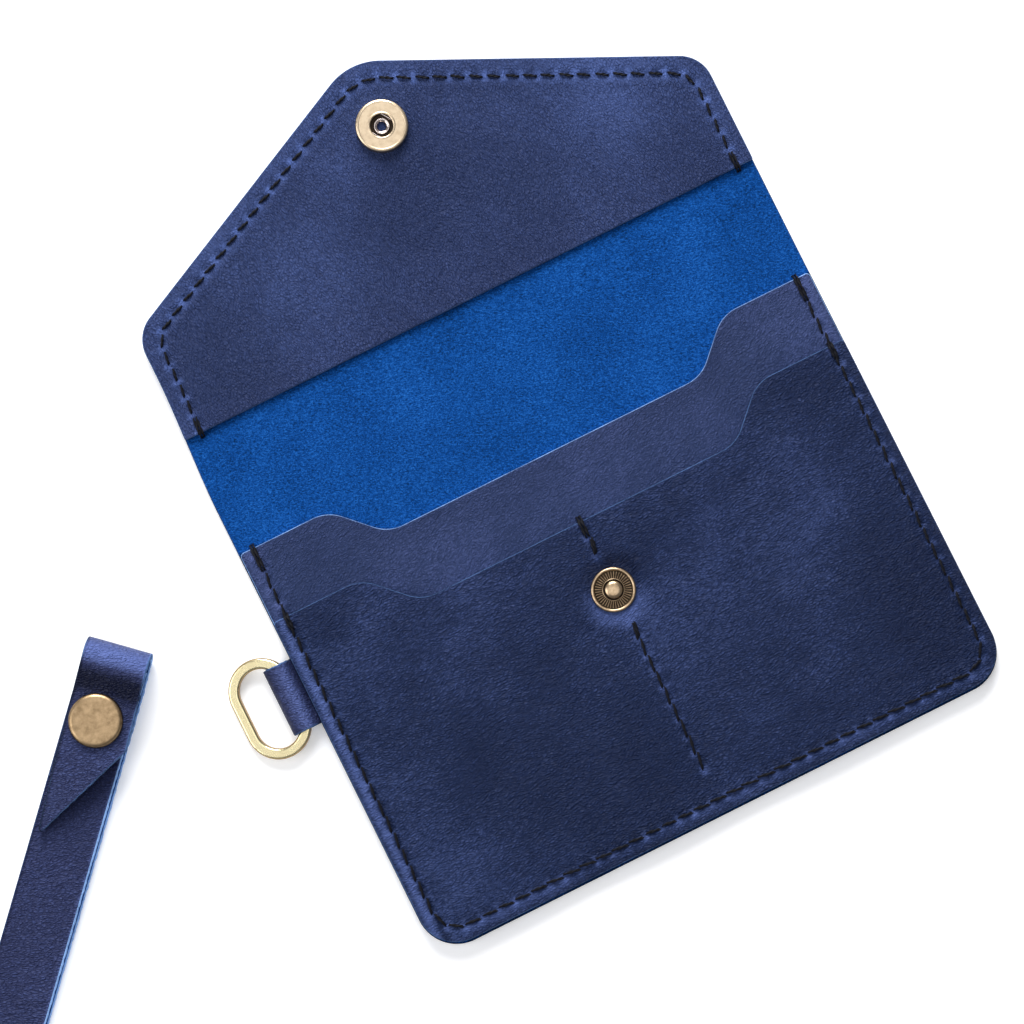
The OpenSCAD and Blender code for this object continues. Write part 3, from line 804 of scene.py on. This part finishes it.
def tube(path, radius):
    """Points and faces of a closed tube along a path."""
    side, up = beside(path)
    radius = np.broadcast_to(radius, len(path))[:, None, None]
    turn = np.linspace(0, 2 * np.pi, TUBE_SIDES, endpoint=False)
    ring = np.cos(turn)[None, :, None] * side[:, None] + np.sin(turn)[None, :, None] * up[:, None]
    points = (path[:, None] + radius * ring).reshape(-1, 3)
    index = np.arange(len(points)).reshape(-1, TUBE_SIDES)
    follow = np.roll(index, -1, 1)
    quads = np.stack([index[:-1], index[1:], follow[1:], follow[:-1]], -1).reshape(-1, 4)
    return points, quads.tolist() + [index[0].tolist(), index[-1][::-1].tolist()]


def twisted(path, turns):
    """Two plies of thread, twisted round each other along a path."""
    side, up = beside(path)
    turn = np.linspace(0, 2 * np.pi * turns, len(path))[:, None]
    for ply in (0, np.pi):
        yield path + PLY_OFF * (side * np.cos(turn + ply) + up * np.sin(turn + ply))


def stitch_path(start, end, rise, sink):
    """From hole to hole over the leather: it comes up steeply, lies flat, and goes down steeply."""
    start, end = np.asarray(start, float), np.asarray(end, float)
    u = np.linspace(0, 1, 14)
    steep = np.abs(2 * u - 1) ** 6
    path = start + (end - start) * u[:, None]
    path[:, 2] += rise * (1 - steep) - sink * steep
    return path


def merged(parts):
    """One mesh's points and faces, from the points and faces of several."""
    points, faces, count = [], [], 0
    for part_points, part_faces in parts:
        points.append(np.asarray(part_points, float))
        faces += [[i + count for i in face] for face in part_faces]
        count += len(part_points)
    return np.vstack(points), faces


def gather(paths):
    """One mesh of the strands, each a little thinner at its ends, where it is pulled into the leather."""
    thinning = [0.5 * np.abs(np.linspace(-1, 1, len(path))) ** 3 for path in paths]
    return merged(tube(path, PLY_R * (1 - less)) for path, less in zip(paths, thinning))


def seam_stitches(seam, level_at, face, gap=0.1, first=0, last=0):
    """The stitches of a seam on its upper (face 1) or under (face -1) side, less some first and last ones."""
    rng = np.random.default_rng(seam.count)
    strands = []
    for i in range(first, seam.count - last):
        uneven = rng.uniform(-1, 1, 3)
        middle = seam.start + (i + 0.5) * STITCH_PITCH + 0.12 * uneven[0]
        half = (STITCH_PITCH - gap) / 2 + 0.1 * uneven[1]
        a, direction = seam.at(middle - half)
        b, _ = seam.at(middle + half)
        across = np.array([-direction[1], direction[0]]) * half * (0.14 + 0.04 * uneven[2])
        z = level_at(*seam.at(middle)[0])
        ends = [*(a + across), z], [*(b - across), z]
        path = stitch_path(*ends, face * STITCH_RISE, face * STITCH_SINK)
        strands += list(twisted(path, 1.2))
    return strands


def flat_level(z):
    return lambda x, y: z


def pocket_level(x, y):
    """The pocket seam lies on the front pocket, and above its top edge on the inner one."""
    return FRONT_Z[1] if y < FRONT_TOP + 1.75 else INNER_Z[1]


def wrap_stitch(x, y_low, z_low, y_edge, z_edge, y_high, z_high, offsets):
    """Stitches that go from a hole in a panel, over its cut edge, and into the face below."""
    strands = []
    for offset in offsets:
        path = smooth_path(
            [[x + offset, y_low, z_low - 0.5], [x + offset, y_low + 0.35, z_low + 0.2],
             [x + offset, (y_low + y_edge) / 2, z_low + 0.35], [x + offset, y_edge, z_edge + 0.25],
             [x + offset, y_high - 0.25, z_high + 0.3], [x + offset, y_high, z_high - 0.4]], 0.35)
        strands += list(twisted(path, 1.6))
    return strands


seam_x = HALF_W - SIDE_SEAM
wraps = []
for side in (-1, 1):
    wraps += wrap_stitch(side * seam_x, INNER_TOP - pocket_seam.start - STITCH_PITCH + 0.3, INNER_Z[1],
                         INNER_TOP, INNER_Z[1], INNER_TOP + 1.1, OUTER_T, WRAP_PAIR)
    wraps += wrap_stitch(side * seam_x, FRONT_TOP - 3.3, FRONT_Z[1], FRONT_TOP, FRONT_Z[1],
                         FRONT_TOP + 0.9, INNER_Z[1], WRAP_PAIR)

strands = seam_stitches(pocket_seam, pocket_level, 1, first=1, last=1)
strands += seam_stitches(pocket_seam, flat_level(UNDER_LEVEL), -1)
points, faces = gather(strands + wraps)
pocket_stitches = make_piece("pocket_stitches", settle(points), faces, [thread])
stands_for(pocket_stitches, "thread", "pocket_seam_thread", body="wallet")

recess_y = FRONT_TOP - RECESS_DEPTH
on_front = flat_level(FRONT_Z[1])
strands = seam_stitches(upper_divider, on_front, 1, first=1)
strands += [path + SECOND_PASS for path in strands]
strands += wrap_stitch(0.2, recess_y - 4.0, FRONT_Z[1], recess_y, FRONT_Z[1],
                       recess_y + 1.4, INNER_Z[1], (-0.36, 0.36))
strands += seam_stitches(lower_divider, on_front, 1, gap=-0.3)
strands += [path + SECOND_PASS for path in seam_stitches(lower_divider, on_front, 1)[:2]]
points, faces = gather(strands)
divider_stitches = make_piece("divider_stitches", points, faces, [thread])
stands_for(divider_stitches, "thread", "divider_seam_thread", body="wallet")

strands = seam_stitches(flap_seam, flat_level(LINING_Z[1]), 1, gap=1.0, first=1, last=1)
strands += seam_stitches(flap_seam, flat_level(UNDER_LEVEL), -1)
for side in (-1, 1):
    for path in wrap_stitch(side * (HALF_W - EDGE_SEAM), -LINING_Y - flap_seam.start - STITCH_PITCH + 0.6,
                            LINING_Z[1], -LINING_Y, LINING_Z[1], -LINING_Y + 1.2, OUTER_T, WRAP_PAIR):
        strands.append(path * (1, -1, 1))
points, faces = gather(strands)
flap_stitches = make_piece("flap_stitches", settle(points), faces, [thread])
stands_for(flap_stitches, "thread", "flap_seam_thread", body="flap")


# --- Snaps ---

LATHE_STEPS = 96
FLAP_CAP_LEATHER = OUTER_T + 1.2  # what the flap's cap goes through: the outer leather and the lining


def lathe(profile, zones):
    """Points, faces and material zones of a profile of radius and height, turned about Z."""
    profile, steps = np.asarray(profile, float), LATHE_STEPS
    turn = np.linspace(0, 2 * np.pi, steps, endpoint=False)
    points = np.stack([profile[:, :1] * np.cos(turn), profile[:, :1] * np.sin(turn),
                       np.repeat(profile[:, 1:], steps, 1)], -1).reshape(-1, 3)
    index = np.arange(len(profile) * steps).reshape(len(profile), steps)
    follow = np.roll(index, -1, 1)
    quads = np.stack([index[:-1], follow[:-1], follow[1:], index[1:]], -1)
    faces = quads.reshape(-1, 4).tolist()
    material_of = np.repeat(zones, steps).tolist()
    if profile[0, 0] > 0:
        faces.append(index[0][::-1].tolist())
        material_of.append(zones[0])
    if profile[-1, 0] > 0:
        faces.append(index[-1].tolist())
        material_of.append(zones[-1])
    return points, faces, material_of


def rounded_profile(corners):
    """A profile through corners of (radius, height, rounding), with a zone number each."""
    points, zones = [], []
    for i, (r, z, rounding, zone) in enumerate(corners):
        here = np.array([r, z])
        if rounding == 0 or i in (0, len(corners) - 1):
            points.append(here)
            zones.append(zone)
            continue
        before, after = np.array(corners[i - 1][:2]), np.array(corners[i + 1][:2])
        a = here + (before - here) / np.linalg.norm(before - here) * rounding
        b = here + (after - here) / np.linalg.norm(after - here) * rounding
        for t in np.linspace(0, 1, 6):
            points.append((1 - t) ** 2 * a + 2 * t * (1 - t) * here + t * t * b)
            zones.append(zone)
    return points, zones[1:]


def ribs(count, inner, outer, low_z, high_z, share):
    """Radial ribs between two radii: rounded bars that stand on a sunk ring."""
    points, faces = [], []
    for i in range(count):
        angle = 2 * np.pi * i / count
        along = np.array([math.cos(angle), math.sin(angle)])
        across = np.array([-math.sin(angle), math.cos(angle)])
        base = len(points)
        for radius in (inner, outer):
            half = math.pi * radius / count * share
            for offset, z in ((-half, low_z), (-half * 0.6, high_z), (half * 0.6, high_z), (half, low_z)):
                points.append([*(along * radius + across * offset), z])
        faces += [[base + a for a in face] for face in
                  ((0, 1, 5, 4), (1, 2, 6, 5), (2, 3, 7, 6), (3, 0, 4, 7), (3, 2, 1, 0), (4, 5, 6, 7))]
    return points, faces


def stud_parts():
    """A snap's stud: rolled rim, ribbed sunk ring, thin inner ring and domed head."""
    profile, zones = rounded_profile([
        (0, 0, 0, 0), (5.0, 0, 0.2, 0), (5.3, 0.45, 0.35, 0), (4.95, 0.98, 0.35, 0), (4.4, 0.8, 0.3, 0),
        (4.25, 0.25, 0.05, 1), (2.6, 0.25, 0.05, 1), (2.55, 0.8, 0.1, 0), (2.25, 0.8, 0.1, 1),
        (2.15, 0.4, 0.05, 1), (1.6, 0.4, 0.05, 1), (1.6, 1.45, 0.1, 1), (2.05, 1.62, 0.15, 0),
        (2.0, 1.95, 0.2, 0), (1.55, 2.25, 0.3, 0), (0.8, 2.38, 0.5, 0), (0.0, 2.4, 0, 0)])
    turned, turned_faces, material_of = lathe(profile, zones)
    bars = ribs(count=40, inner=2.6, outer=4.25, low_z=0.22, high_z=0.6, share=0.36)
    points, faces = merged([(turned, turned_faces), bars])
    return points, faces, material_of + [2] * len(bars[1])


def socket_parts():
    """A snap's socket: a flat ring with a turned groove at each edge, and a mouth in its middle."""
    profile, zones = rounded_profile([
        (1.8, 0.4, 0, 1), (4.2, 0.4, 0, 1), (4.2, 1.7, 0, 1), (2.7, 1.7, 0.05, 1), (2.65, 2.1, 0.15, 0),
        (2.95, 2.22, 0.1, 0), (3.25, 2.12, 0.08, 0), (5.3, 2.12, 0.08, 0), (5.55, 2.2, 0.1, 0),
        (6.05, 2.05, 0.25, 0), (6.15, 1.4, 0.1, 0), (6.15, 0, 0, 0), (1.8, 0, 0, 0), (1.8, 0.4, 0, 0)])
    points, faces, material_of = lathe(profile, zones)
    return points, faces[:-2], material_of[:-2]


def cap_parts(leather_t):
    """A snap's cap, dome downwards, with its hollow post up through leather of that thickness."""
    flat_r, rim_r, crown, shoulder = 4.7, 6.25, 1.6, 1.46
    shares = (0, 0.25, 0.5, 0.75)
    dome = [(flat_r * share, -crown + (crown - shoulder) * share ** 2, 0, 0) for share in shares]
    dome += [(flat_r + (rim_r - flat_r) * math.sin(a) ** 0.8, -shoulder * math.cos(a) ** 0.6, 0, 0)
             for a in np.radians(np.linspace(0, 90, 14))]
    top = leather_t + 0.75
    profile, zones = rounded_profile(dome + [
        (5.9, 0.02, 0, 0), (1.65, 0.02, 0, 1), (1.65, top - 0.35, 0.1, 1), (2.05, top - 0.05, 0.2, 1),
        (1.75, top + 0.3, 0.25, 1), (1.15, top + 0.05, 0.2, 1), (0.95, top - 0.5, 0.1, 1),
        (0.9, leather_t * 0.3, 0, 2), (0, leather_t * 0.3, 0, 2)])
    return lathe(profile, zones)


def snap_piece(name, parts, materials, place, body, node, slot):
    points, faces, material_of = parts
    piece = make_piece(name, place(np.asarray(points, float)), faces, materials, material_of, sharp=35)
    stands_for(piece, slot, node, body=body)


def flipped_on_strap(points, z):
    """The strap's snap faces down: its parts hang from the height z."""
    turned = points * (1, 1, -1) + (0, -STRAP_SNAP, z)
    return on_strap(turned)


def mirrored(parts):
    """The same parts with their faces turned over, for a place that turns them upside down."""
    points, faces, material_of = parts
    return points, [face[::-1] for face in faces], material_of


# The second metal of stud and socket, and the third of the cap, is painted shade in their hollows.
stud_metals = [stud_brass, shade_brass, rib_brass]
socket_metals = [pale_brass, shade_brass]
cap_metals = [antique_brass, spring_steel, shade_brass]
strap_under = STRAP_TAB_Z - OUTER_T / 2
snap_piece("wallet_stud", stud_parts(), stud_metals, lambda p: p + (0, STUD_Y, FRONT_Z[1]),
           "wallet", "wallet_snap_stud", "pale_brass")
snap_piece("flap_socket", socket_parts(), socket_metals, lambda p: settle(p + (0, SOCKET_Y, LINING_Z[1])),
           "flap", "flap_snap_socket", "pale_brass")
snap_piece("flap_cap", cap_parts(FLAP_CAP_LEATHER), cap_metals, lambda p: settle(p + (0, SOCKET_Y, 0)),
           "flap", "flap_snap_cap", "antique_brass")
snap_piece("strap_stud", stud_parts(), stud_metals, lambda p: on_strap(p + (0, -STRAP_SNAP, STRAP_TOP)),
           "strap", "strap_snap_stud", "pale_brass")
snap_piece("strap_socket", mirrored(socket_parts()), socket_metals,
           lambda p: flipped_on_strap(p, strap_under), "strap_tab", "strap_snap_socket", "pale_brass")
snap_piece("strap_cap", mirrored(cap_parts(OUTER_T)), cap_metals,
           lambda p: flipped_on_strap(p, strap_under + OUTER_T),
           "strap_tab", "strap_snap_cap", "antique_brass")

node_metals = {
    "wallet_snap_post": antique_brass, "strap_snap_post": antique_brass, "flap_snap_spring": spring_steel,
    "strap_snap_spring": spring_steel, "oval_ring": ring_gold}
for node, material in node_metals.items():
    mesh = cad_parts[node].data
    mesh.materials.clear()
    mesh.materials.append(material)


# --- Straps and tab ---

STRIP_ROWS = 26  # of points across each face of a strip


def strip(name, path, left, right, thickness, materials, place, tone):
    """A strip of leather along a path of (length, height), between the edges left and right at each point.

    Its grain side is on the left of the path's direction, and the materials are the grain's, the cut
    edges' and the back's. tone gives how pale it is, from the distances to both edges and the path.
    The right edge is a little ragged.
    """
    across, count = STRIP_ROWS, len(path)
    tangent = unit_rows(np.gradient(path, axis=0))
    normal = np.column_stack([-tangent[:, 1], tangent[:, 0]])
    half_t = np.broadcast_to(thickness, count) / 2
    r = min(EDGE_R, half_t.min() * 0.8)
    ragged = 0.07 * waves(*path.T, 1.4, 21)
    shares = np.linspace(0, 1, across)
    section = []
    for face, side in ((1, 1), (-1, -1)):
        section += [(share, 0.0, face, 0.0) for share in shares[::side]]
        section += [(shares[::side][-1], side * reach, face, drop) for reach, drop in ROUNDING]
        section += [(shares[::side][-1], side * reach, -face, drop) for reach, drop in ROUNDING[::-1]]
    lines, tones = [], []
    for share, reach, face, drop in section:
        x = left + r + (right - left - 2 * r) * share + reach * r + max(reach, 0) * ragged
        spot = path + normal * (face * (half_t - drop * r))[:, None]
        lines.append(np.column_stack([x, spot]))
        tones.append(tone(x - left, right - x, path))
    m = len(section)
    index = np.arange(count * m).reshape(count, m)
    follow = np.roll(index, -1, 1)
    faces = np.stack([index[:-1], index[1:], follow[1:], follow[:-1]], -1).reshape(-1, 4).tolist()
    edge_zones = [1] * (2 * len(ROUNDING) + 1)
    zones = [0] * (across - 1) + edge_zones + [2] * (across - 1) + edge_zones
    faces += [index[0].tolist(), index[-1][::-1].tolist()]
    points = np.stack(lines, 1).reshape(-1, 3)
    tones = np.stack(tones, 1).ravel()
    return make_piece(name, place(points), faces, materials, zones * (count - 1) + [1, 1], tones)


FOLD_R = (STRAP_TAB_Z - OUTER_T / 2) / 2  # of the middle line of the strap's top fold
FOLD_MID_Z = OUTER_T / 2 + FOLD_R
FOLD_MID_Y = -OUTER_T / 2 - FOLD_R + 0.6  # the fold is a little flatter than round
LOOP_END_R = 4.75  # of the strap's middle line, round the loop's far end
UPPER_FLAT_Y = -100.0  # from here to the fold, the upper run lies flat on the lower one
UPPER_END_Y = -4.6
SHORT_EDGE = 23.0  # length of the snapping end along its right edge
LONG_EDGE = 45.6  # and along its left edge, to the tip
TIP_W = 0.9
DIP_START = 25.0  # from here to the tip, the snapping end dips
DIP = 2.9


def fold_line(start, end):
    """Part of the middle line of the strap's top fold: -90 degrees is its lowest point and 90 its highest."""
    angles = np.radians(np.linspace(start, end, 16))
    out = -OUTER_T / 2 - FOLD_MID_Y
    return [[FOLD_MID_Y + out * math.cos(a), FOLD_MID_Z + FOLD_R * math.sin(a)] for a in angles]


def strap_run_path():
    """From the middle of the fold, down and out along the lower run, and back along the upper run."""
    end_z = OUTER_T / 2 + LOOP_END_R
    end_y, top = end_z - STRAP_LEN, end_z + LOOP_END_R
    turn = np.radians(np.arange(12, 180, 12))
    low = [[y, OUTER_T / 2] for y in np.linspace(FOLD_MID_Y - 1, end_y, 90)]
    end = [[end_y - LOOP_END_R * math.sin(a), end_z - LOOP_END_R * math.cos(a)] for a in turn]
    fall = [[end_y + (UPPER_FLAT_Y - end_y) * t, top + (STRAP_MID_Z - top) * (1 - math.cos(math.pi * t)) / 2]
            for t in np.linspace(0, 1, 30)]
    flat = [[y, STRAP_MID_Z] for y in np.linspace(UPPER_FLAT_Y + 1, UPPER_END_Y, 60)]
    return resampled(fold_line(0, -90) + low + end + fall + flat, 0.6)


def strap_end_path():
    """From the slanting end's tip, back along it, and round the fold to its middle."""
    dip = [[-DIP_START - (LONG_EDGE - DIP_START) * t, STRAP_TAB_Z - DIP * (0.25 * t + 0.75 * t * t)]
           for t in np.linspace(1, 0, 20)]
    flat = [[y, STRAP_TAB_Z] for y in np.linspace(1 - DIP_START, FOLD_MID_Y - 1, 20)]
    return resampled(dip + flat + fold_line(90, 0), 0.45)


LOWER_RUN_OFF = 0.5  # the lower run lies this far to the right of the upper one
FOLD_OFF = 0.3
END_LEAN = 0.03  # the snapping end leans to the right
FOLD_PART_Y = -8.0  # beyond this, the lower run doesn't bend when the strap is unsnapped


def strap_run_edges(path):
    """The lower run lies a little to the right of the upper one, so that both edges show."""
    place = along_path(path)
    off = FOLD_OFF + (LOWER_RUN_OFF - FOLD_OFF) * smoothstep(place / 15)
    off = off - LOWER_RUN_OFF * smoothstep((place - 120) / 60)
    return off - STRAP_W / 2, off + STRAP_W / 2


def strap_end_edges(path):
    """The slanting end: its right edge runs in to a blunt tip at its left."""
    half = STRAP_W / 2
    along = -path[:, 0]
    off = FOLD_OFF + END_LEAN * np.maximum(along - 3, 0)
    slope = (STRAP_W - TIP_W) / (LONG_EDGE - SHORT_EDGE)
    right = half - np.maximum(along - SHORT_EDGE, 0) * slope
    tip = np.clip(along - LONG_EDGE + 1, 0, 1)
    inset = 0.4 * (1 - np.sqrt(1 - tip ** 2))
    return off - half + inset, off + np.maximum(right - inset, -half + 0.6)


def strap_run_tone(from_left, from_right, path):
    # Painted highlight on the pale right edge, and painted shade on the left one.
    edge = bump(from_right, 0.6) - 1.8 * bump(from_left, 0.4)
    # Painted shade on the runs under the snapping end; paler round the loop's far end.
    return 0.55 * edge - 0.12 * bump(path[:, 0] + 20, 12) + 0.4 * bump(path[:, 0] + STRAP_LEN, 4)


def strap_end_tone(from_left, from_right, path):
    y = path[:, 0]
    # Painted highlight along the right edge, fading before the slanting part.
    right_edge = 0.5 * bump(from_right, 0.6) * smoothstep((y + 26) / 6)
    # Painted highlight on the fold, partly the paler colour of stretched leather, then a painted band of
    # shade past it, and paler towards the tip.
    fold_sheen_and_shade = 1.1 * bump(y + 3.2, 2.4) - 1.0 * bump(y + 9.5, 3.2) + 0.12 * smoothstep((-y - 20) / 5)
    # Painted shade on the left edge.
    return right_edge - 0.9 * bump(from_left, 0.4) + fold_sheen_and_shade


def strap_spot(y, z):
    """A point of the strap's own frame, in metres, where the strap lies."""
    return tuple(on_strap([[0, y, z]])[0] * MM)


run_path = strap_run_path()
left, right = strap_run_edges(run_path)
fold_end = int(np.argmax(run_path[:, 0] < FOLD_PART_Y))
of_fold, of_run = slice(0, fold_end + 1), slice(fold_end, None)
strap_fold = strip(
    "wrist_strap_fold_sheet", run_path[of_fold], left[of_fold], right[of_fold], OUTER_T,
    [strap_grain, bright_edge, suede], on_strap, strap_run_tone)
stands_for(strap_fold, "strap_leather", "wrist_strap_fold")
strap_spot(-2.0, 0.3)
strap_spot(-0.2, 3.0)
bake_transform(strap_fold)

strap_run = strip(
    "wrist_strap_run", run_path[of_run], left[of_run], right[of_run], OUTER_T,
    [strap_grain, bright_edge, suede], on_strap, strap_run_tone)
stands_for(strap_run, "strap_leather", "wrist_strap_loop", body="strap")

end_path = strap_end_path()
left, right = strap_end_edges(end_path)
strap_end = strip(
    "wrist_strap_end", end_path, left, right, OUTER_T,
    [strap_grain, dyed_edge, suede], on_strap, strap_end_tone)
stands_for(strap_end, "strap_leather", "wrist_strap_tab")
strap_spot(-0.2, 4.9)
strap_spot(-2.0, 7.2)
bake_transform(strap_end)


TAB_MIN_Z = 0.52  # so that the tab's underside stays above the table
TAB_BEND_R = 2.75  # of the tab's middle line, round the ring's bar
TAB_IN_X = -65.4  # how far in the tab's ends reach, between the wallet's layers
TAB_UNDER_Z = 1.92  # of its lower layer there
TAB_OVER_Z = 2.62  # and of its upper one
TAB_SEWN_T = 0.72  # pressed thickness there
TAB_T = 1.0


def ring_tab_path():
    """From the seam, under the ring's bar, round it, and back over it to the seam."""
    angles = np.radians([292, 265, 235, 205, 175, 145, 115, 85, 60])
    loop = [[LOOP_X + TAB_BEND_R * math.cos(a), LOOP_Z + TAB_BEND_R * math.sin(a)] for a in angles]
    under = [[TAB_IN_X, TAB_UNDER_Z], [-72.5, TAB_UNDER_Z], [-74.2, 1.45]]
    over = [[-73.9, 3.3], [-71.8, TAB_OVER_Z], [TAB_IN_X, TAB_OVER_Z]]
    path = smooth_path(under + loop + over, 0.35)
    path[:, 1] = np.maximum(path[:, 1], TAB_MIN_Z)
    return path


def on_tab(points):
    """Points of the tab's strip (across, along, up), moved to where the tab is."""
    return points[:, [1, 0, 2]] + (0, TAB_Y, 0)


def tab_tone(from_left, from_right, path):
    along = path[:, 0]
    middle = 0.1 * smoothstep(np.minimum(from_left, from_right) / 2)
    shadows = 0.5 * bump(along + 73.9, 0.9) + 0.3 * bump(along + 79.3, 0.8)
    # Painted highlight on top of the loop round the ring's bar.
    return middle + 0.45 * bump(along + 76, 1.3) - shadows


tab_path = ring_tab_path()
tab_half = np.full(len(tab_path), TAB_W / 2)
tab_t = TAB_SEWN_T + (TAB_T - TAB_SEWN_T) * smoothstep((-72.5 - tab_path[:, 0]) / 2)
ring_tab = strip(
    "ring_tab_strip", tab_path, -tab_half, tab_half, tab_t,
    [strap_grain, dyed_edge, suede], on_tab, tab_tone)
stands_for(ring_tab, "strap_leather", "ring_tab", body="wallet")


# --- Stage, light and camera ---

CAMERA_TURN = math.radians(-26.5)
LOOK_AT = Vector((-12.75, 25.25, 2.0)) * MM
VIEW_W = 235.2 * MM
LENS = 120.0
TILT = math.radians(3.0)
FLOOR_HALF = 2.5  # half the floor's side, in metres
FLOOR_Z = -2e-5  # just under the wallet, in metres


def seen_from_camera(right, up, out):
    """A direction given as the camera sees it: to its right, up in its picture, and towards it."""
    cos, sin = math.cos(CAMERA_TURN), math.sin(CAMERA_TURN)
    return Vector((right * cos - up * sin, right * sin + up * cos, out))


def make_floor():
    s = Shader("floor_paper")
    at = s.add("TexCoord", {}, "Object")
    fibre = s.noise(at, 900.0, 2.0, 0.5)
    s.drive("Base Color", s.ramp(fibre, [(0.3, (0.93, 0.93, 0.94)), (0.7, (0.96, 0.96, 0.97))]))
    s.fix(Roughness=0.9, Specular_IOR_Level=0.1, Emission_Color=(1, 1, 1, 1), Emission_Strength=0.25)
    mesh = bpy.data.meshes.new("floor")
    corners = [(x * FLOOR_HALF, y * FLOOR_HALF, FLOOR_Z) for x, y in ((-1, -1), (1, -1), (1, 1), (-1, 1))]
    mesh.from_pydata(corners, [], [(0, 1, 2, 3)])
    mesh.materials.append(s.material)
    floor = bpy.data.objects.new("floor", mesh)
    bpy.context.scene.collection.objects.link(floor)
    floor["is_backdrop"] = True


def area_light(name, towards, distance, size, power):
    light = bpy.data.lights.new(name, "AREA")
    light.shape = "DISK"
    light.size = size
    light.energy = power
    lamp = bpy.data.objects.new(name, light)
    lamp.location = LOOK_AT + towards.normalized() * distance
    lamp.rotation_mode = "QUATERNION"
    lamp.rotation_quaternion = (-towards).to_track_quat("-Z", "Y")
    bpy.context.scene.collection.objects.link(lamp)


make_floor()
area_light("key", seen_from_camera(-0.15, 1.0, 0.72), 1.3, 0.8, 22.0)
area_light("fill", seen_from_camera(-1.0, -0.25, 0.8), 1.5, 1.2, 10.0)
area_light("overhead", seen_from_camera(0, -0.05, 1.0), 1.2, 1.0, 3.1)

world = bpy.data.worlds.new("studio")
bpy.context.scene.world = world
world.use_nodes = True
background = world.node_tree.nodes["Background"].inputs
background["Color"].default_value = (0.93, 0.95, 1.0, 1)
background["Strength"].default_value = 0.22

camera_data = bpy.data.cameras.new("camera")
camera_data.lens = LENS
distance = VIEW_W / 2 / math.tan(math.atan(camera_data.sensor_width / 2 / LENS))
camera = bpy.data.objects.new("camera", camera_data)
towards = seen_from_camera(0, -math.sin(TILT), math.cos(TILT))
camera.location = LOOK_AT + towards * distance
camera.rotation_euler = (TILT, 0, CAMERA_TURN)
camera_data.clip_end = 20
bpy.context.scene.collection.objects.link(camera)
bpy.context.scene.camera = camera
bpy.context.scene.view_settings.view_transform = "Standard"

low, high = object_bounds()
